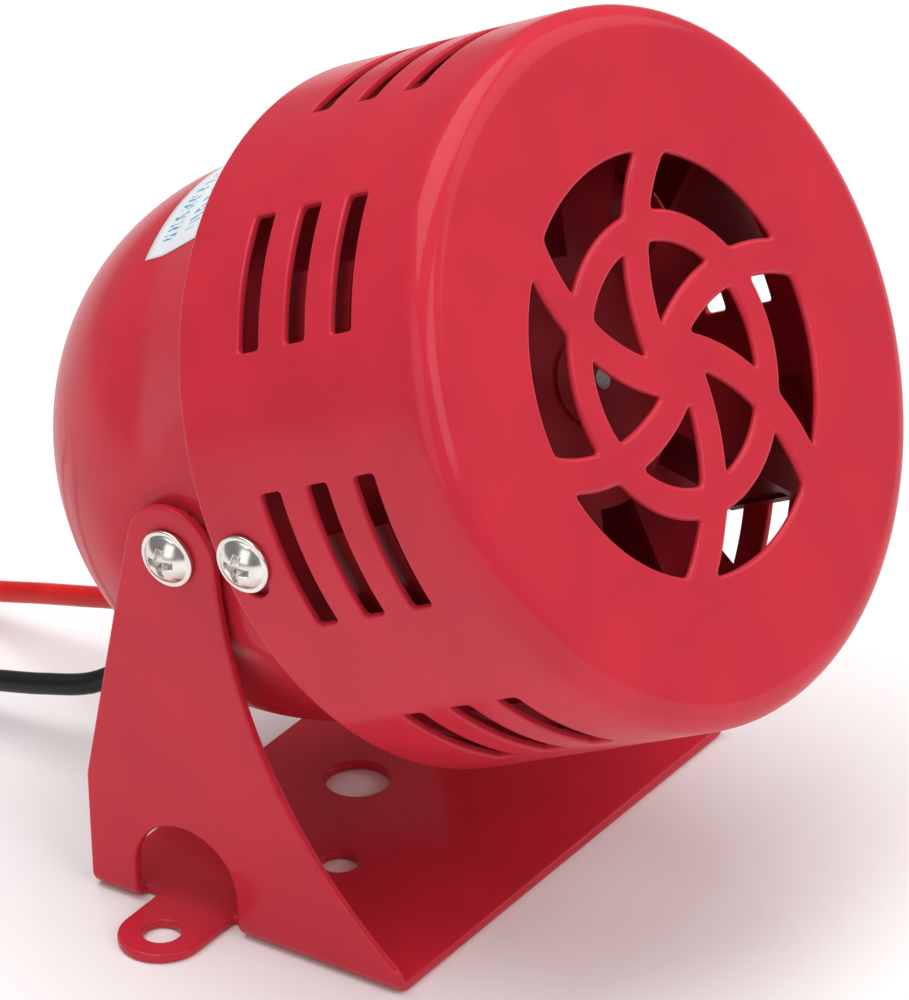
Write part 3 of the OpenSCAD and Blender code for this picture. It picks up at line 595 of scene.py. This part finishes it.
DRUM_WALL = 1.0
DRUM_EDGE_R = 3.0
GRILLE_R = 23.4
RING_OUTER_R = 17.1
RING_INNER_R = 13.5
FACE_JOIN_R = 25.0
SPOKE_W = 4.0
SPOKE_CENTRE = np.array([9.74, 19.45])
SPOKE_R = 23.62
SLOT_GROUPS = 8
SLOT_ANGLE = 23
SLOT_START = 80
SLOT_W = 3.0
SLOT_PITCH = 6.9
SLOT_FIRST = 12.0
DRUM_SCREW_Z = (DRUM_SCREW_LOW[2] + DRUM_SCREW_HIGH[2]) / 2
SCREW_SLOT_R = 1.7
SCREW_SLOT_RUN = 2.6
RIM_EDGE = 0.46
SLOT_EDGE = 0.3


def spoke_edge(radius, r):
    """Polar angle, in degrees, at which a spoke's edge circle crosses the circle of radius r."""
    reach = np.hypot(*SPOKE_CENTRE)
    cosine = (r**2 + reach**2 - radius**2) / (2 * r * reach)
    return np.degrees(np.arctan2(SPOKE_CENTRE[1], SPOKE_CENTRE[0]) + np.arccos(np.clip(cosine, -1, 1)))


def window(r_in, r_out, turn):
    """Outline of an opening between two spokes and two circles: out along a spoke, round, back and round."""
    r = np.linspace(r_in, r_out, 400)
    a = spoke_edge(SPOKE_R + SPOKE_W / 2, r)
    b = spoke_edge(SPOKE_R - SPOKE_W / 2, r) + 60
    r, a, b = r[b > a], a[b > a], b[b > a]
    radius = np.concatenate([r, np.full(60, r_out), r[::-1], np.full(60, r[0])])
    angle = np.concatenate([a, np.linspace(a[-1], b[-1], 60), b[::-1], np.linspace(b[0], a[0], 60)])
    angle = np.radians(angle + turn)
    points = radius[:, None] * np.stack([np.cos(angle), np.sin(angle)], axis=-1)
    return even_outline(points, 0.28, 0.42)


def rounded_box(width, height, corner, step):
    """Outline of a box with round corners, centred on the origin."""
    x, y = width / 2 - corner, height / 2 - corner
    corners = [arc((sx * x, sy * y), corner, a, a + 90, 9) for sx, sy, a in
               ((1, 1, 0), (-1, 1, 90), (-1, -1, 180), (1, -1, 270))]
    return even_outline(np.concatenate(corners), step, 0)


def on_front(p):
    """Plane of the drum's face to siren coordinates: depth runs rearward."""
    return to_row(np.stack([p[:, 0], p[:, 1], DRUM_FRONT - p[:, 2]], axis=-1))


def on_wall(p):
    """Unrolled drum wall to siren coordinates: u is arc at the outer radius, v forward, depth inward."""
    angle = p[:, 0] / DRUM_R
    r = DRUM_R - p[:, 2]
    return to_row(np.stack([r * np.cos(angle), r * np.sin(angle), p[:, 1]], axis=-1))


def drum_profile():
    """Closed section of the can as (radius, forward): from the face's join, round the outside, back inside."""
    slots_top = DRUM_FRONT - SLOT_FIRST + SLOT_W / 2 + 1
    slots_low = DRUM_FRONT - SLOT_FIRST - 2 * SLOT_PITCH - SLOT_W / 2 - 1
    screw_top, screw_low = DRUM_SCREW_Z + 2.9, DRUM_SCREW_Z - 2.8
    a = np.radians(np.linspace(0, 90, 9))
    wall_z = np.concatenate([np.linspace(DRUM_FRONT - DRUM_EDGE_R, slots_top, 6)[1:],
                             np.linspace(slots_top, slots_low, 19)[1:],
                             np.linspace(slots_low, screw_top, 3)[1:],
                             np.linspace(screw_top, screw_low, 7)[1:],
                             np.linspace(screw_low, DRUM_REAR + DRUM_WALL / 2, 3)[1:]])
    flat_r = np.linspace(FACE_JOIN_R, DRUM_R - DRUM_EDGE_R, 7)[:-1]
    outer = np.concatenate([
        np.stack([flat_r, np.full(6, DRUM_FRONT)], -1),
        np.stack([DRUM_R - DRUM_EDGE_R + DRUM_EDGE_R * np.sin(a),
                  DRUM_FRONT - DRUM_EDGE_R + DRUM_EDGE_R * np.cos(a)], -1),
        np.stack([np.full(len(wall_z), DRUM_R), wall_z], -1)])
    inner_r = DRUM_EDGE_R - DRUM_WALL
    inner = np.concatenate([
        np.stack([flat_r, np.full(6, DRUM_FRONT - DRUM_WALL)], -1),
        np.stack([DRUM_R - DRUM_EDGE_R + inner_r * np.sin(a),
                  DRUM_FRONT - DRUM_EDGE_R + inner_r * np.cos(a)], -1),
        np.stack([np.full(len(wall_z), DRUM_R - DRUM_WALL), wall_z], -1)])
    b = np.radians(np.linspace(0, 180, 9)[1:-1])
    lip = np.stack([DRUM_R - DRUM_WALL / 2 + DRUM_WALL / 2 * np.cos(b),
                    DRUM_REAR + DRUM_WALL / 2 - DRUM_WALL / 2 * np.sin(b)], -1)
    return np.concatenate([outer, lip, inner[::-1]]), (slots_top, slots_low), (screw_top, screw_low)


def make_drum():
    """Can swept round the axis in whole degrees, with cells left out for slots and sheets that fill those."""
    profile, slot_span, screw_span = drum_profile()
    degree = np.arange(360)
    angle = np.radians(degree)
    ring = np.stack([np.cos(angle), np.sin(angle)], axis=-1)
    points = np.concatenate([profile[:, None, :1] * ring[None],
                             np.broadcast_to(profile[:, None, 1:], (len(profile), 360, 1))], axis=-1)
    z_mid = (profile[:-1, 1] + profile[1:, 1]) / 2
    on_side = (profile[:-1, 0] > DRUM_R - 1.01 * DRUM_WALL) & (profile[1:, 0] > DRUM_R - 1.01 * DRUM_WALL)
    patches = [(SLOT_START - 1 + i * 360 // SLOT_GROUPS, SLOT_ANGLE + 2, slot_span)
               for i in range(SLOT_GROUPS)]
    patches += [(176, 12, screw_span), (-8, 12, screw_span)]
    cut = np.zeros((len(profile) - 1, 360), bool)
    for first, count, (top, low) in patches:
        rows = on_side & (z_mid < top) & (z_mid > low)
        cut |= rows[:, None] & (((degree - first) % 360) < count)[None]
    parts = [(to_row(points.reshape(-1, 3)), grid_faces(len(profile), 360)[~cut.ravel()])]

    per_degree = math.radians(1) * DRUM_R
    for first, count, (top, low) in patches:
        inside_rows = profile[(profile[:, 0] > DRUM_R - 0.01) & (profile[:, 1] <= top + 1e-6)
                              & (profile[:, 1] >= low - 1e-6), 1]
        u = np.arange(first, first + count + 1) * per_degree
        v = np.sort(inside_rows)
        frame_loop = np.concatenate([np.stack([u, np.full(len(u), v[0])], -1),
                                     np.stack([np.full(len(v) - 1, u[-1]), v[1:]], -1),
                                     np.stack([u[::-1][1:], np.full(len(u) - 1, v[-1])], -1),
                                     np.stack([np.full(len(v) - 2, u[0]), v[::-1][1:-1]], -1)])
        if count == SLOT_ANGLE + 2:
            middle = (first + count / 2) * per_degree
            holes = [rounded_box(SLOT_ANGLE * per_degree, SLOT_W, 0.45, per_degree / 2)
                     + [middle, DRUM_FRONT - SLOT_FIRST - row * SLOT_PITCH] for row in range(3)]
        else:
            way = 1 if first > 0 else -1
            middle = 180 * per_degree if way > 0 else 0.0
            box = rounded_box(2 * SCREW_SLOT_R + SCREW_SLOT_RUN, 2 * SCREW_SLOT_R, SCREW_SLOT_R * 0.98, 0.4)
            holes = [box + [middle + way * SCREW_SLOT_RUN / 2, DRUM_SCREW_Z]]
        parts += pressed_sheet([], holes, DRUM_WALL, SLOT_EDGE, on_wall, fixed=[frame_loop])

    rings = ((3.0, RING_INNER_R), (RING_OUTER_R, GRILLE_R))
    windows = [window(*radii, 60 * k) for radii in rings for k in range(6)]
    parts += pressed_sheet([], windows, DRUM_WALL, RIM_EDGE, on_front, fixed=[FACE_JOIN_R * ring])
    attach(put_mesh("sound_drum", parts, "drum_cover"), "siren")


make_drum()

# ---- Motor housing ----

HOUSING_RIM_R = 35.8
HOUSING_R = 32.7
CONE_FRONT = 12.5
PAD_FRONT = 13.4
FLANGE_R = 37.9
FLANGE_FRONT = 18.9
DOME_FLAT_R = 14.0
DOME_LEN = 26.5
HOUSING_WALL = 1.2
FLAT_X = siren_span("pivot_nuts")[1][0] + HOUSING_WALL
FLAT_SOFT = 0.22
EXIT_Y = -18.5
SEAT_R = 6.2
SEAT_Z = -25.2


def housing_section(t):
    """(radius, forward) of one skin of the housing, rear pole to front: flat, elliptical dome, cone, rim."""
    rise = HOUSING_R - DOME_FLAT_R - t
    a = np.radians(np.linspace(90, 0, 60))
    flat = np.stack([np.linspace(0, DOME_FLAT_R, 26)[:-1], np.full(25, -(DOME_LEN - t))], -1)
    dome = np.stack([DOME_FLAT_R + rise * np.cos(a), -(DOME_LEN - t) * np.sin(a)], -1)
    z = np.linspace(0, CONE_FRONT, 11)[1:]
    cone = np.stack([HOUSING_R - t + (HOUSING_RIM_R - HOUSING_R) * z / CONE_FRONT, z], -1)
    return np.concatenate([flat, dome, cone])


def blur_rows(section, width):
    """Section smoothed along its length, so that its corners are small rounds; its ends stay."""
    padded = np.concatenate([2 * section[:1] - section[1:width + 1][::-1], section,
                             2 * section[-1:] - section[-width - 1:-1][::-1]])
    weight = np.hanning(2 * width + 3)[1:-1]
    weight = weight / weight.sum()
    return np.stack([np.convolve(padded[:, k], weight, "valid") for k in (0, 1)], axis=-1)


def make_housing():
    """Both skins of revolution, flattened softly at the sides, with a seat in the dome for the grommet."""
    outer, inner = blur_rows(housing_section(0), 2), blur_rows(housing_section(HOUSING_WALL), 2)
    inner_r = HOUSING_RIM_R - HOUSING_WALL
    rim = np.array([[HOUSING_RIM_R, PAD_FRONT - 0.15], [HOUSING_RIM_R + 0.15, PAD_FRONT],
                    [FLANGE_R - 0.2, PAD_FRONT], [FLANGE_R, PAD_FRONT + 0.2], [FLANGE_R, FLANGE_FRONT - 0.2],
                    [FLANGE_R - 0.2, FLANGE_FRONT], [inner_r, FLANGE_FRONT], [inner_r, CONE_FRONT + 0.3]])
    section = np.concatenate([outer, rim, inner[::-1]])
    flat_at = np.concatenate([np.full(len(outer), FLAT_X), [FLAT_X, FLAT_X], np.full(len(rim) - 3, 90.0),
                              np.full(len(inner) + 1, FLAT_X - HOUSING_WALL)])
    angle = np.radians(np.arange(0, 360, 1.0))
    x, y = (section[:, :1] * f(angle)[None] for f in (np.cos, np.sin))
    z = np.broadcast_to(section[:, 1:], x.shape).copy()
    limit = flat_at[:, None]
    x = np.sign(x) * (limit - FLAT_SOFT * np.logaddexp(0, (limit - np.abs(x)) / FLAT_SOFT))
    from_exit = np.hypot(x, y - EXIT_Y)
    near = np.clip((SEAT_R + 0.45 - from_exit) / 0.9, 0, 1)
    near = near * near * (3 - 2 * near)
    outside = (np.arange(len(section)) < len(outer))[:, None]
    z = np.where(outside, z + near * (SEAT_Z - z), z)
    points = np.stack([x, y, z], axis=-1)
    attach(put_mesh("housing_shell", [(to_row(points.reshape(-1, 3)), grid_faces(len(section), 360))],
                     "motor_housing"), "siren")


make_housing()

# ---- Bracket ----

SHEET = 1.2
BEND_R = 2.0
ARM_X = 33.2
ARM_TOP_R = 6.0
HEEL_H = 15.0
FLARE_CENTRE = (-67.0, 3.0)              # hollow front edges of the arms: centre, from the pivot
WINDOW_W = 14.0
WINDOW_H = 12.0
TAB_W = 10.0
TAB_HOLE_X = 38.0
TAB_ROOM = 0.35                         # half the saw cut between the tab and its window
TAB_HOLE_R = 2.2
PIVOT_HOLE_R = 2.06
BRACKET_EDGE = 0.34
BEND_START = ARM_X - BEND_R
BEND_RUN = BEND_R * math.pi / 2
BASE_FRONT, BASE_REAR = BRACKET_LOW[1], BRACKET_HIGH[1]


def unrolled(z):
    """Distance along the flat pattern at which the arm reaches a height."""
    return BEND_START + BEND_RUN + z - BEND_R


def folded(p):
    """Flat pattern to the folded bracket: flat base, quarter bend, upright arm. The tab stays flat."""
    side, u, y, depth = np.sign(p[:, 0]), np.abs(p[:, 0]), p[:, 1], p[:, 2]
    turn = np.clip((u - BEND_START) / BEND_R, 0, math.pi / 2)
    past = np.maximum(u - BEND_START - BEND_RUN, 0)
    x = np.minimum(u, BEND_START) + (BEND_R - depth) * np.sin(turn)
    z = BEND_R - (BEND_R - depth) * np.cos(turn) + past
    half = TAB_W / 2 + TAB_ROOM
    tab = (u > BEND_START) & (np.abs(y) < half) & (u < TAB_HOLE_X + np.sqrt(np.maximum(half**2 - y**2, 0)))
    x, z = np.where(tab, u, x), np.where(tab, depth, z)
    return np.stack([side * x, y, z], axis=-1) * MM


def make_bracket():
    """Flat pattern of the whole bracket with its holes, rounded at every rim, then folded."""
    flare = np.array(FLARE_CENTRE)
    flare_r = np.hypot(*flare) - ARM_TOP_R
    foot_rise = -math.sqrt(flare_r**2 - (BASE_FRONT - flare[0]) ** 2)
    foot = math.degrees(math.atan2(foot_rise, BASE_FRONT - flare[0]))
    meet = math.degrees(math.atan2(-flare[1], -flare[0]))
    heel = np.array([BASE_REAR, HEEL_H - PIVOT_H])
    rear_lean = math.degrees(math.atan2(-heel[1], -heel[0]) - math.asin(ARM_TOP_R / np.hypot(*heel)))
    edge = np.concatenate([arc(flare, flare_r, foot, meet, 160),
                           arc((0, 0), ARM_TOP_R, 180 + meet, rear_lean - 90, 60), heel[None]])
    arm = np.stack([unrolled(edge[:, 1] + PIVOT_H), edge[:, 0]], axis=-1)
    right = np.concatenate([[[0, BASE_FRONT]], arm, [[0, BASE_REAR]]])
    outline = even_outline(np.concatenate([right, right[::-1] * [-1, 1]]), 0.6, 0.45)

    base_holes = mounts["base_holes"]
    pitch, hole_y = base_holes["dims"]["spacing_x_mm"], base_holes["pos_m"][1] / MM
    round_holes = [((0, 0), mounts["centre_hole"]["dims"]["r_mm"])]
    round_holes += [((s * pitch / 2, hole_y), base_holes["dims"]["hole_r_mm"]) for s in (-1, 1)]
    round_holes += [((s * unrolled(PIVOT_H), 0), PIVOT_HOLE_R) for s in (-1, 1)]
    round_holes += [((s * TAB_HOLE_X, 0), TAB_HOLE_R) for s in (-1, 1)]
    holes = [even_outline(arc(c, r, 0, 360, 97)[:-1], 0.4, 0) for c, r in round_holes]
    arch = unrolled(WINDOW_H - WINDOW_W / 2)
    for s in (-1, 1):
        around_tab = np.concatenate([[[BEND_START, -TAB_W / 2]], arc((TAB_HOLE_X, 0), TAB_W / 2, -90, 90, 40),
                                     [[BEND_START, TAB_W / 2], [BEND_START, WINDOW_W / 2]],
                                     arc((arch, 0), WINDOW_W / 2, 90, -90, 60),
                                     [[BEND_START, -WINDOW_W / 2]]])
        holes.append(even_outline(around_tab * [s, 1], 0.4, 0.18))

    across = np.concatenate([[BEND_START - 0.4], BEND_START + BEND_RUN * np.linspace(0, 1, 9),
                             [BEND_START + BEND_RUN + 0.4]])
    rows = np.arange(BASE_FRONT + 0.8, BASE_REAR - 0.6, 0.9)
    u, v = np.meshgrid(np.concatenate([-across, across]), rows)
    lattice = np.stack([u.ravel(), v.ravel()], axis=-1)
    parts = pressed_sheet([outline], holes, SHEET, BRACKET_EDGE, folded, lattice=lattice)
    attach(put_mesh("u_bracket", parts, "mounting_bracket"), "bracket")


make_bracket()

# ---- Screw heads ----

HEAD_FLANGE_R = 3.4
HEAD_FLANGE_T = 0.7
HEAD_PAN_R = 2.9
HEAD_PAN_H = 1.5
CROSS_W = 0.8
CROSS_LEN = 3.3
CROSS_DEPTH = 1.5


def screw_head(teeth=0):
    """Domed head with a flange and a cross recess: a height over a disc, closed below by a flat underside.

    The recess sinks where a point is inside either of two crossed bars, deepest in the middle."""
    r = np.concatenate([np.linspace(0, 2.2, 56), np.linspace(2.2, HEAD_PAN_R, 10)[1:],
                        np.linspace(HEAD_PAN_R + 0.05, HEAD_FLANGE_R - 0.2, 4)])
    angle = np.linspace(0, TURN, 144, endpoint=False)
    rr, aa = np.meshgrid(r, angle, indexing="ij")
    x, y = rr * np.cos(aa), rr * np.sin(aa)
    dome_r = (HEAD_PAN_R**2 + HEAD_PAN_H**2) / (2 * HEAD_PAN_H)
    dome = np.sqrt(np.maximum(dome_r**2 - rr**2, 0)) - (dome_r - HEAD_PAN_H)
    z = HEAD_FLANGE_T + np.maximum(dome, 0)
    ax, ay = np.abs(x), np.abs(y)
    half_w = CROSS_W / 2 + 0.16 * np.exp(-(rr / 0.9) ** 2)
    bar = np.minimum(np.maximum(ax - half_w, ay - CROSS_LEN / 2), np.maximum(ay - half_w, ax - CROSS_LEN / 2))
    sink = np.clip((0.07 - bar) / 0.2, 0, 1)
    z = z - sink * sink * (3 - 2 * sink) * CROSS_DEPTH * (1 - 0.55 * rr / (CROSS_LEN / 2)).clip(0.3, 1)
    if teeth:
        z = z - 0.16 * (rr > HEAD_PAN_R) * (0.5 + 0.5 * np.cos(teeth * aa))
    a = np.radians(np.linspace(90, 0, 5))[1:]
    edge_r = HEAD_FLANGE_R - 0.2 + 0.2 * np.cos(a)
    edge_z = HEAD_FLANGE_T - 0.2 + 0.2 * np.sin(a)
    low_r, low_z = np.array([HEAD_FLANGE_R, 1.5, 0.0]), np.zeros(3)
    rim_r, rim_z = np.concatenate([edge_r, low_r]), np.concatenate([edge_z, low_z])
    rim = np.stack([rim_r[:, None] * np.cos(angle), rim_r[:, None] * np.sin(angle),
                    np.broadcast_to(rim_z[:, None], (len(rim_r), 144))], axis=-1)
    points = np.concatenate([np.stack([x, y, z], axis=-1), rim])
    return points.reshape(-1, 3), grid_faces(len(points), 144)


def shank(radius, length):
    """Threaded shank below the head: a sawtooth of small height along it, swept round."""
    z = -np.linspace(0, length, int(length / 0.1))
    r = radius - 0.14 * np.abs((z / 0.5) % 1.0 - 0.5) * 2
    r = np.concatenate([[0], r, [0]])
    z = np.concatenate([z[:1], z, z[-1:]])
    angle = np.linspace(0, TURN, 32, endpoint=False)
    points = np.stack([r[:, None] * np.cos(angle), r[:, None] * np.sin(angle),
                       np.broadcast_to(z[:, None], (len(r), 32))], axis=-1)
    return points.reshape(-1, 3), grid_faces(len(r), 32)


def make_screws(name, node, forward, head_x, radius, length, turns, teeth=0):
    """A pair of screws, one each side, each turned a little about its own axis."""
    parts = []
    seat_x = head_x - HEAD_FLANGE_T - HEAD_PAN_H
    for side, turn in zip((-1, 1), turns):
        c, s = math.cos(math.radians(turn)), math.sin(math.radians(turn))
        for points, faces in (screw_head(teeth), shank(radius, length)):
            x = side * (seat_x + points[:, 2])
            up = c * points[:, 0] - s * points[:, 1]
            ahead = s * points[:, 0] + c * points[:, 1]
            parts.append((to_row(np.stack([x, up, forward + ahead], axis=-1)), faces))
    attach(put_mesh(name, parts, node), "siren")


make_screws("pivot_screw_pair", "pivot_screws", 0.0, PIVOT_HEAD_X, 2.0, 6.0, (24, -12))
make_screws("drum_screw_pair", "drum_screws", DRUM_SCREW_Z, DRUM_HEAD_X, 1.45, 5.0, (31, 40))
make_screws("frame_screw_pair", "frame_screws", (FRAME_LOW[2] + FRAME_HIGH[2]) / 2, FRAME_HEAD_X, 1.45, 4.6,
            (10, 65), teeth=18)

# ---- Label ----

LABEL_LOW, LABEL_HIGH = siren_span("data_label")
LABEL_START = 70.2
LABEL_SWEEP = 48.6
LABEL_INSET = 0.1
LABEL_SKINS = (0.03, 0.15)              # heights of its two skins over the housing


def make_label():
    """Film on the housing, over a grid of angle and length, with two skins joined at the edges.

    Its radius is the cone's ahead of the tilt axis and the dome's ellipse behind it."""
    rows, columns = 60, 14
    rear, front = LABEL_LOW[2] + LABEL_INSET, LABEL_HIGH[2] - LABEL_INSET
    s, t = np.meshgrid(np.linspace(0, 1, rows), np.linspace(0, 1, columns), indexing="ij")
    angle = np.radians(LABEL_START + LABEL_SWEEP * s)
    forward = rear + (front - rear) * t
    cone = HOUSING_R + (HOUSING_RIM_R - HOUSING_R) * forward / CONE_FRONT
    dome = DOME_FLAT_R + (HOUSING_R - DOME_FLAT_R) * np.sqrt(1 - (np.minimum(forward, 0) / DOME_LEN)**2)
    r = np.where(forward > 0, cone, dome)
    skins = [np.stack([(r + h) * np.cos(angle), (r + h) * np.sin(angle), forward], axis=-1)
             for h in LABEL_SKINS]
    grid = np.concatenate([skins[0], skins[1][::-1]])
    last = 2 * rows - 1
    faces = grid_faces(2 * rows, columns, closed=False)
    near, far = np.arange(rows - 1), np.arange(1, rows)
    side = np.stack([near, far, last - 1 - near, last - near], axis=-1) * columns
    joint = np.arange(columns - 1)
    end = np.stack([last * columns + joint, last * columns + joint + 1, joint + 1, joint], axis=-1)
    faces = np.concatenate([faces, side, side[:, ::-1] + columns - 1, end])
    uv = np.stack([s, t], axis=-1)
    uv = np.concatenate([uv, uv[::-1]]).reshape(-1, 2)
    made = put_mesh("housing_label", [(to_row(grid.reshape(-1, 3)), faces)], "data_label", uv=uv)
    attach(made, "siren")


make_label()

# ---- Floor and light ----

FLOOR_SIZE = 30.0


def make_floor():
    """Wide flat floor, a grid of four faces just under the bracket."""
    edge = np.linspace(-FLOOR_SIZE / 2, FLOOR_SIZE / 2, 3)
    x, y = np.meshgrid(edge, edge, indexing="ij")
    points = np.stack([x, y, np.full_like(x, -0.00005)], axis=-1).reshape(-1, 3)
    mesh = bpy.data.meshes.new("floor")
    mesh.from_pydata(points.tolist(), [], grid_faces(3, 3, closed=False).tolist())
    f = Finish("floor")
    f.two_tone(f.noise(2, 2), (0.93, 0.93, 0.935), (0.95, 0.95, 0.95))
    f.set(Roughness=0.9, Specular_IOR_Level=0.1)
    mesh.materials.append(f.material)
    floor = bpy.data.objects.new("floor", mesh)
    bpy.context.scene.collection.objects.link(floor)


def area_light(name, place, aim, width, watts, height):
    """Rectangular soft light at a place, turned so that its face looks at the aim."""
    data = bpy.data.lights.new(name, "AREA")
    data.shape = "RECTANGLE"
    data.size, data.size_y = width, height
    data.energy = watts
    light = bpy.data.objects.new(name, data)
    away = Vector(place) - Vector(aim)
    light.matrix_world = Matrix.Translation(Vector(place)) @ away.to_track_quat("Z", "Y").to_matrix().to_4x4()
    bpy.context.scene.collection.objects.link(light)


make_floor()
LIGHT_AIM = (0, -0.01, 0.05)
area_light("softbox_left", (-0.75, -0.05, 0.42), LIGHT_AIM, 0.5, 1.3, 0.7)
area_light("softbox_front", (-0.15, -0.85, 0.62), LIGHT_AIM, 0.6, 2.5, 0.5)
area_light("softbox_top", (0.05, 0.1, 0.95), LIGHT_AIM, 1.1, 9.0, 0.9)
area_light("softbox_right", (0.7, -0.5, 0.62), LIGHT_AIM, 0.8, 2.4, 0.7)

world = bpy.data.worlds.new("studio")
world.use_nodes = True
world.node_tree.nodes["Background"].inputs["Color"].default_value = (1, 1, 1, 1)
world.node_tree.nodes["Background"].inputs["Strength"].default_value = 0.25
bpy.context.scene.world = world
bpy.context.scene.view_settings.view_transform = "Standard"
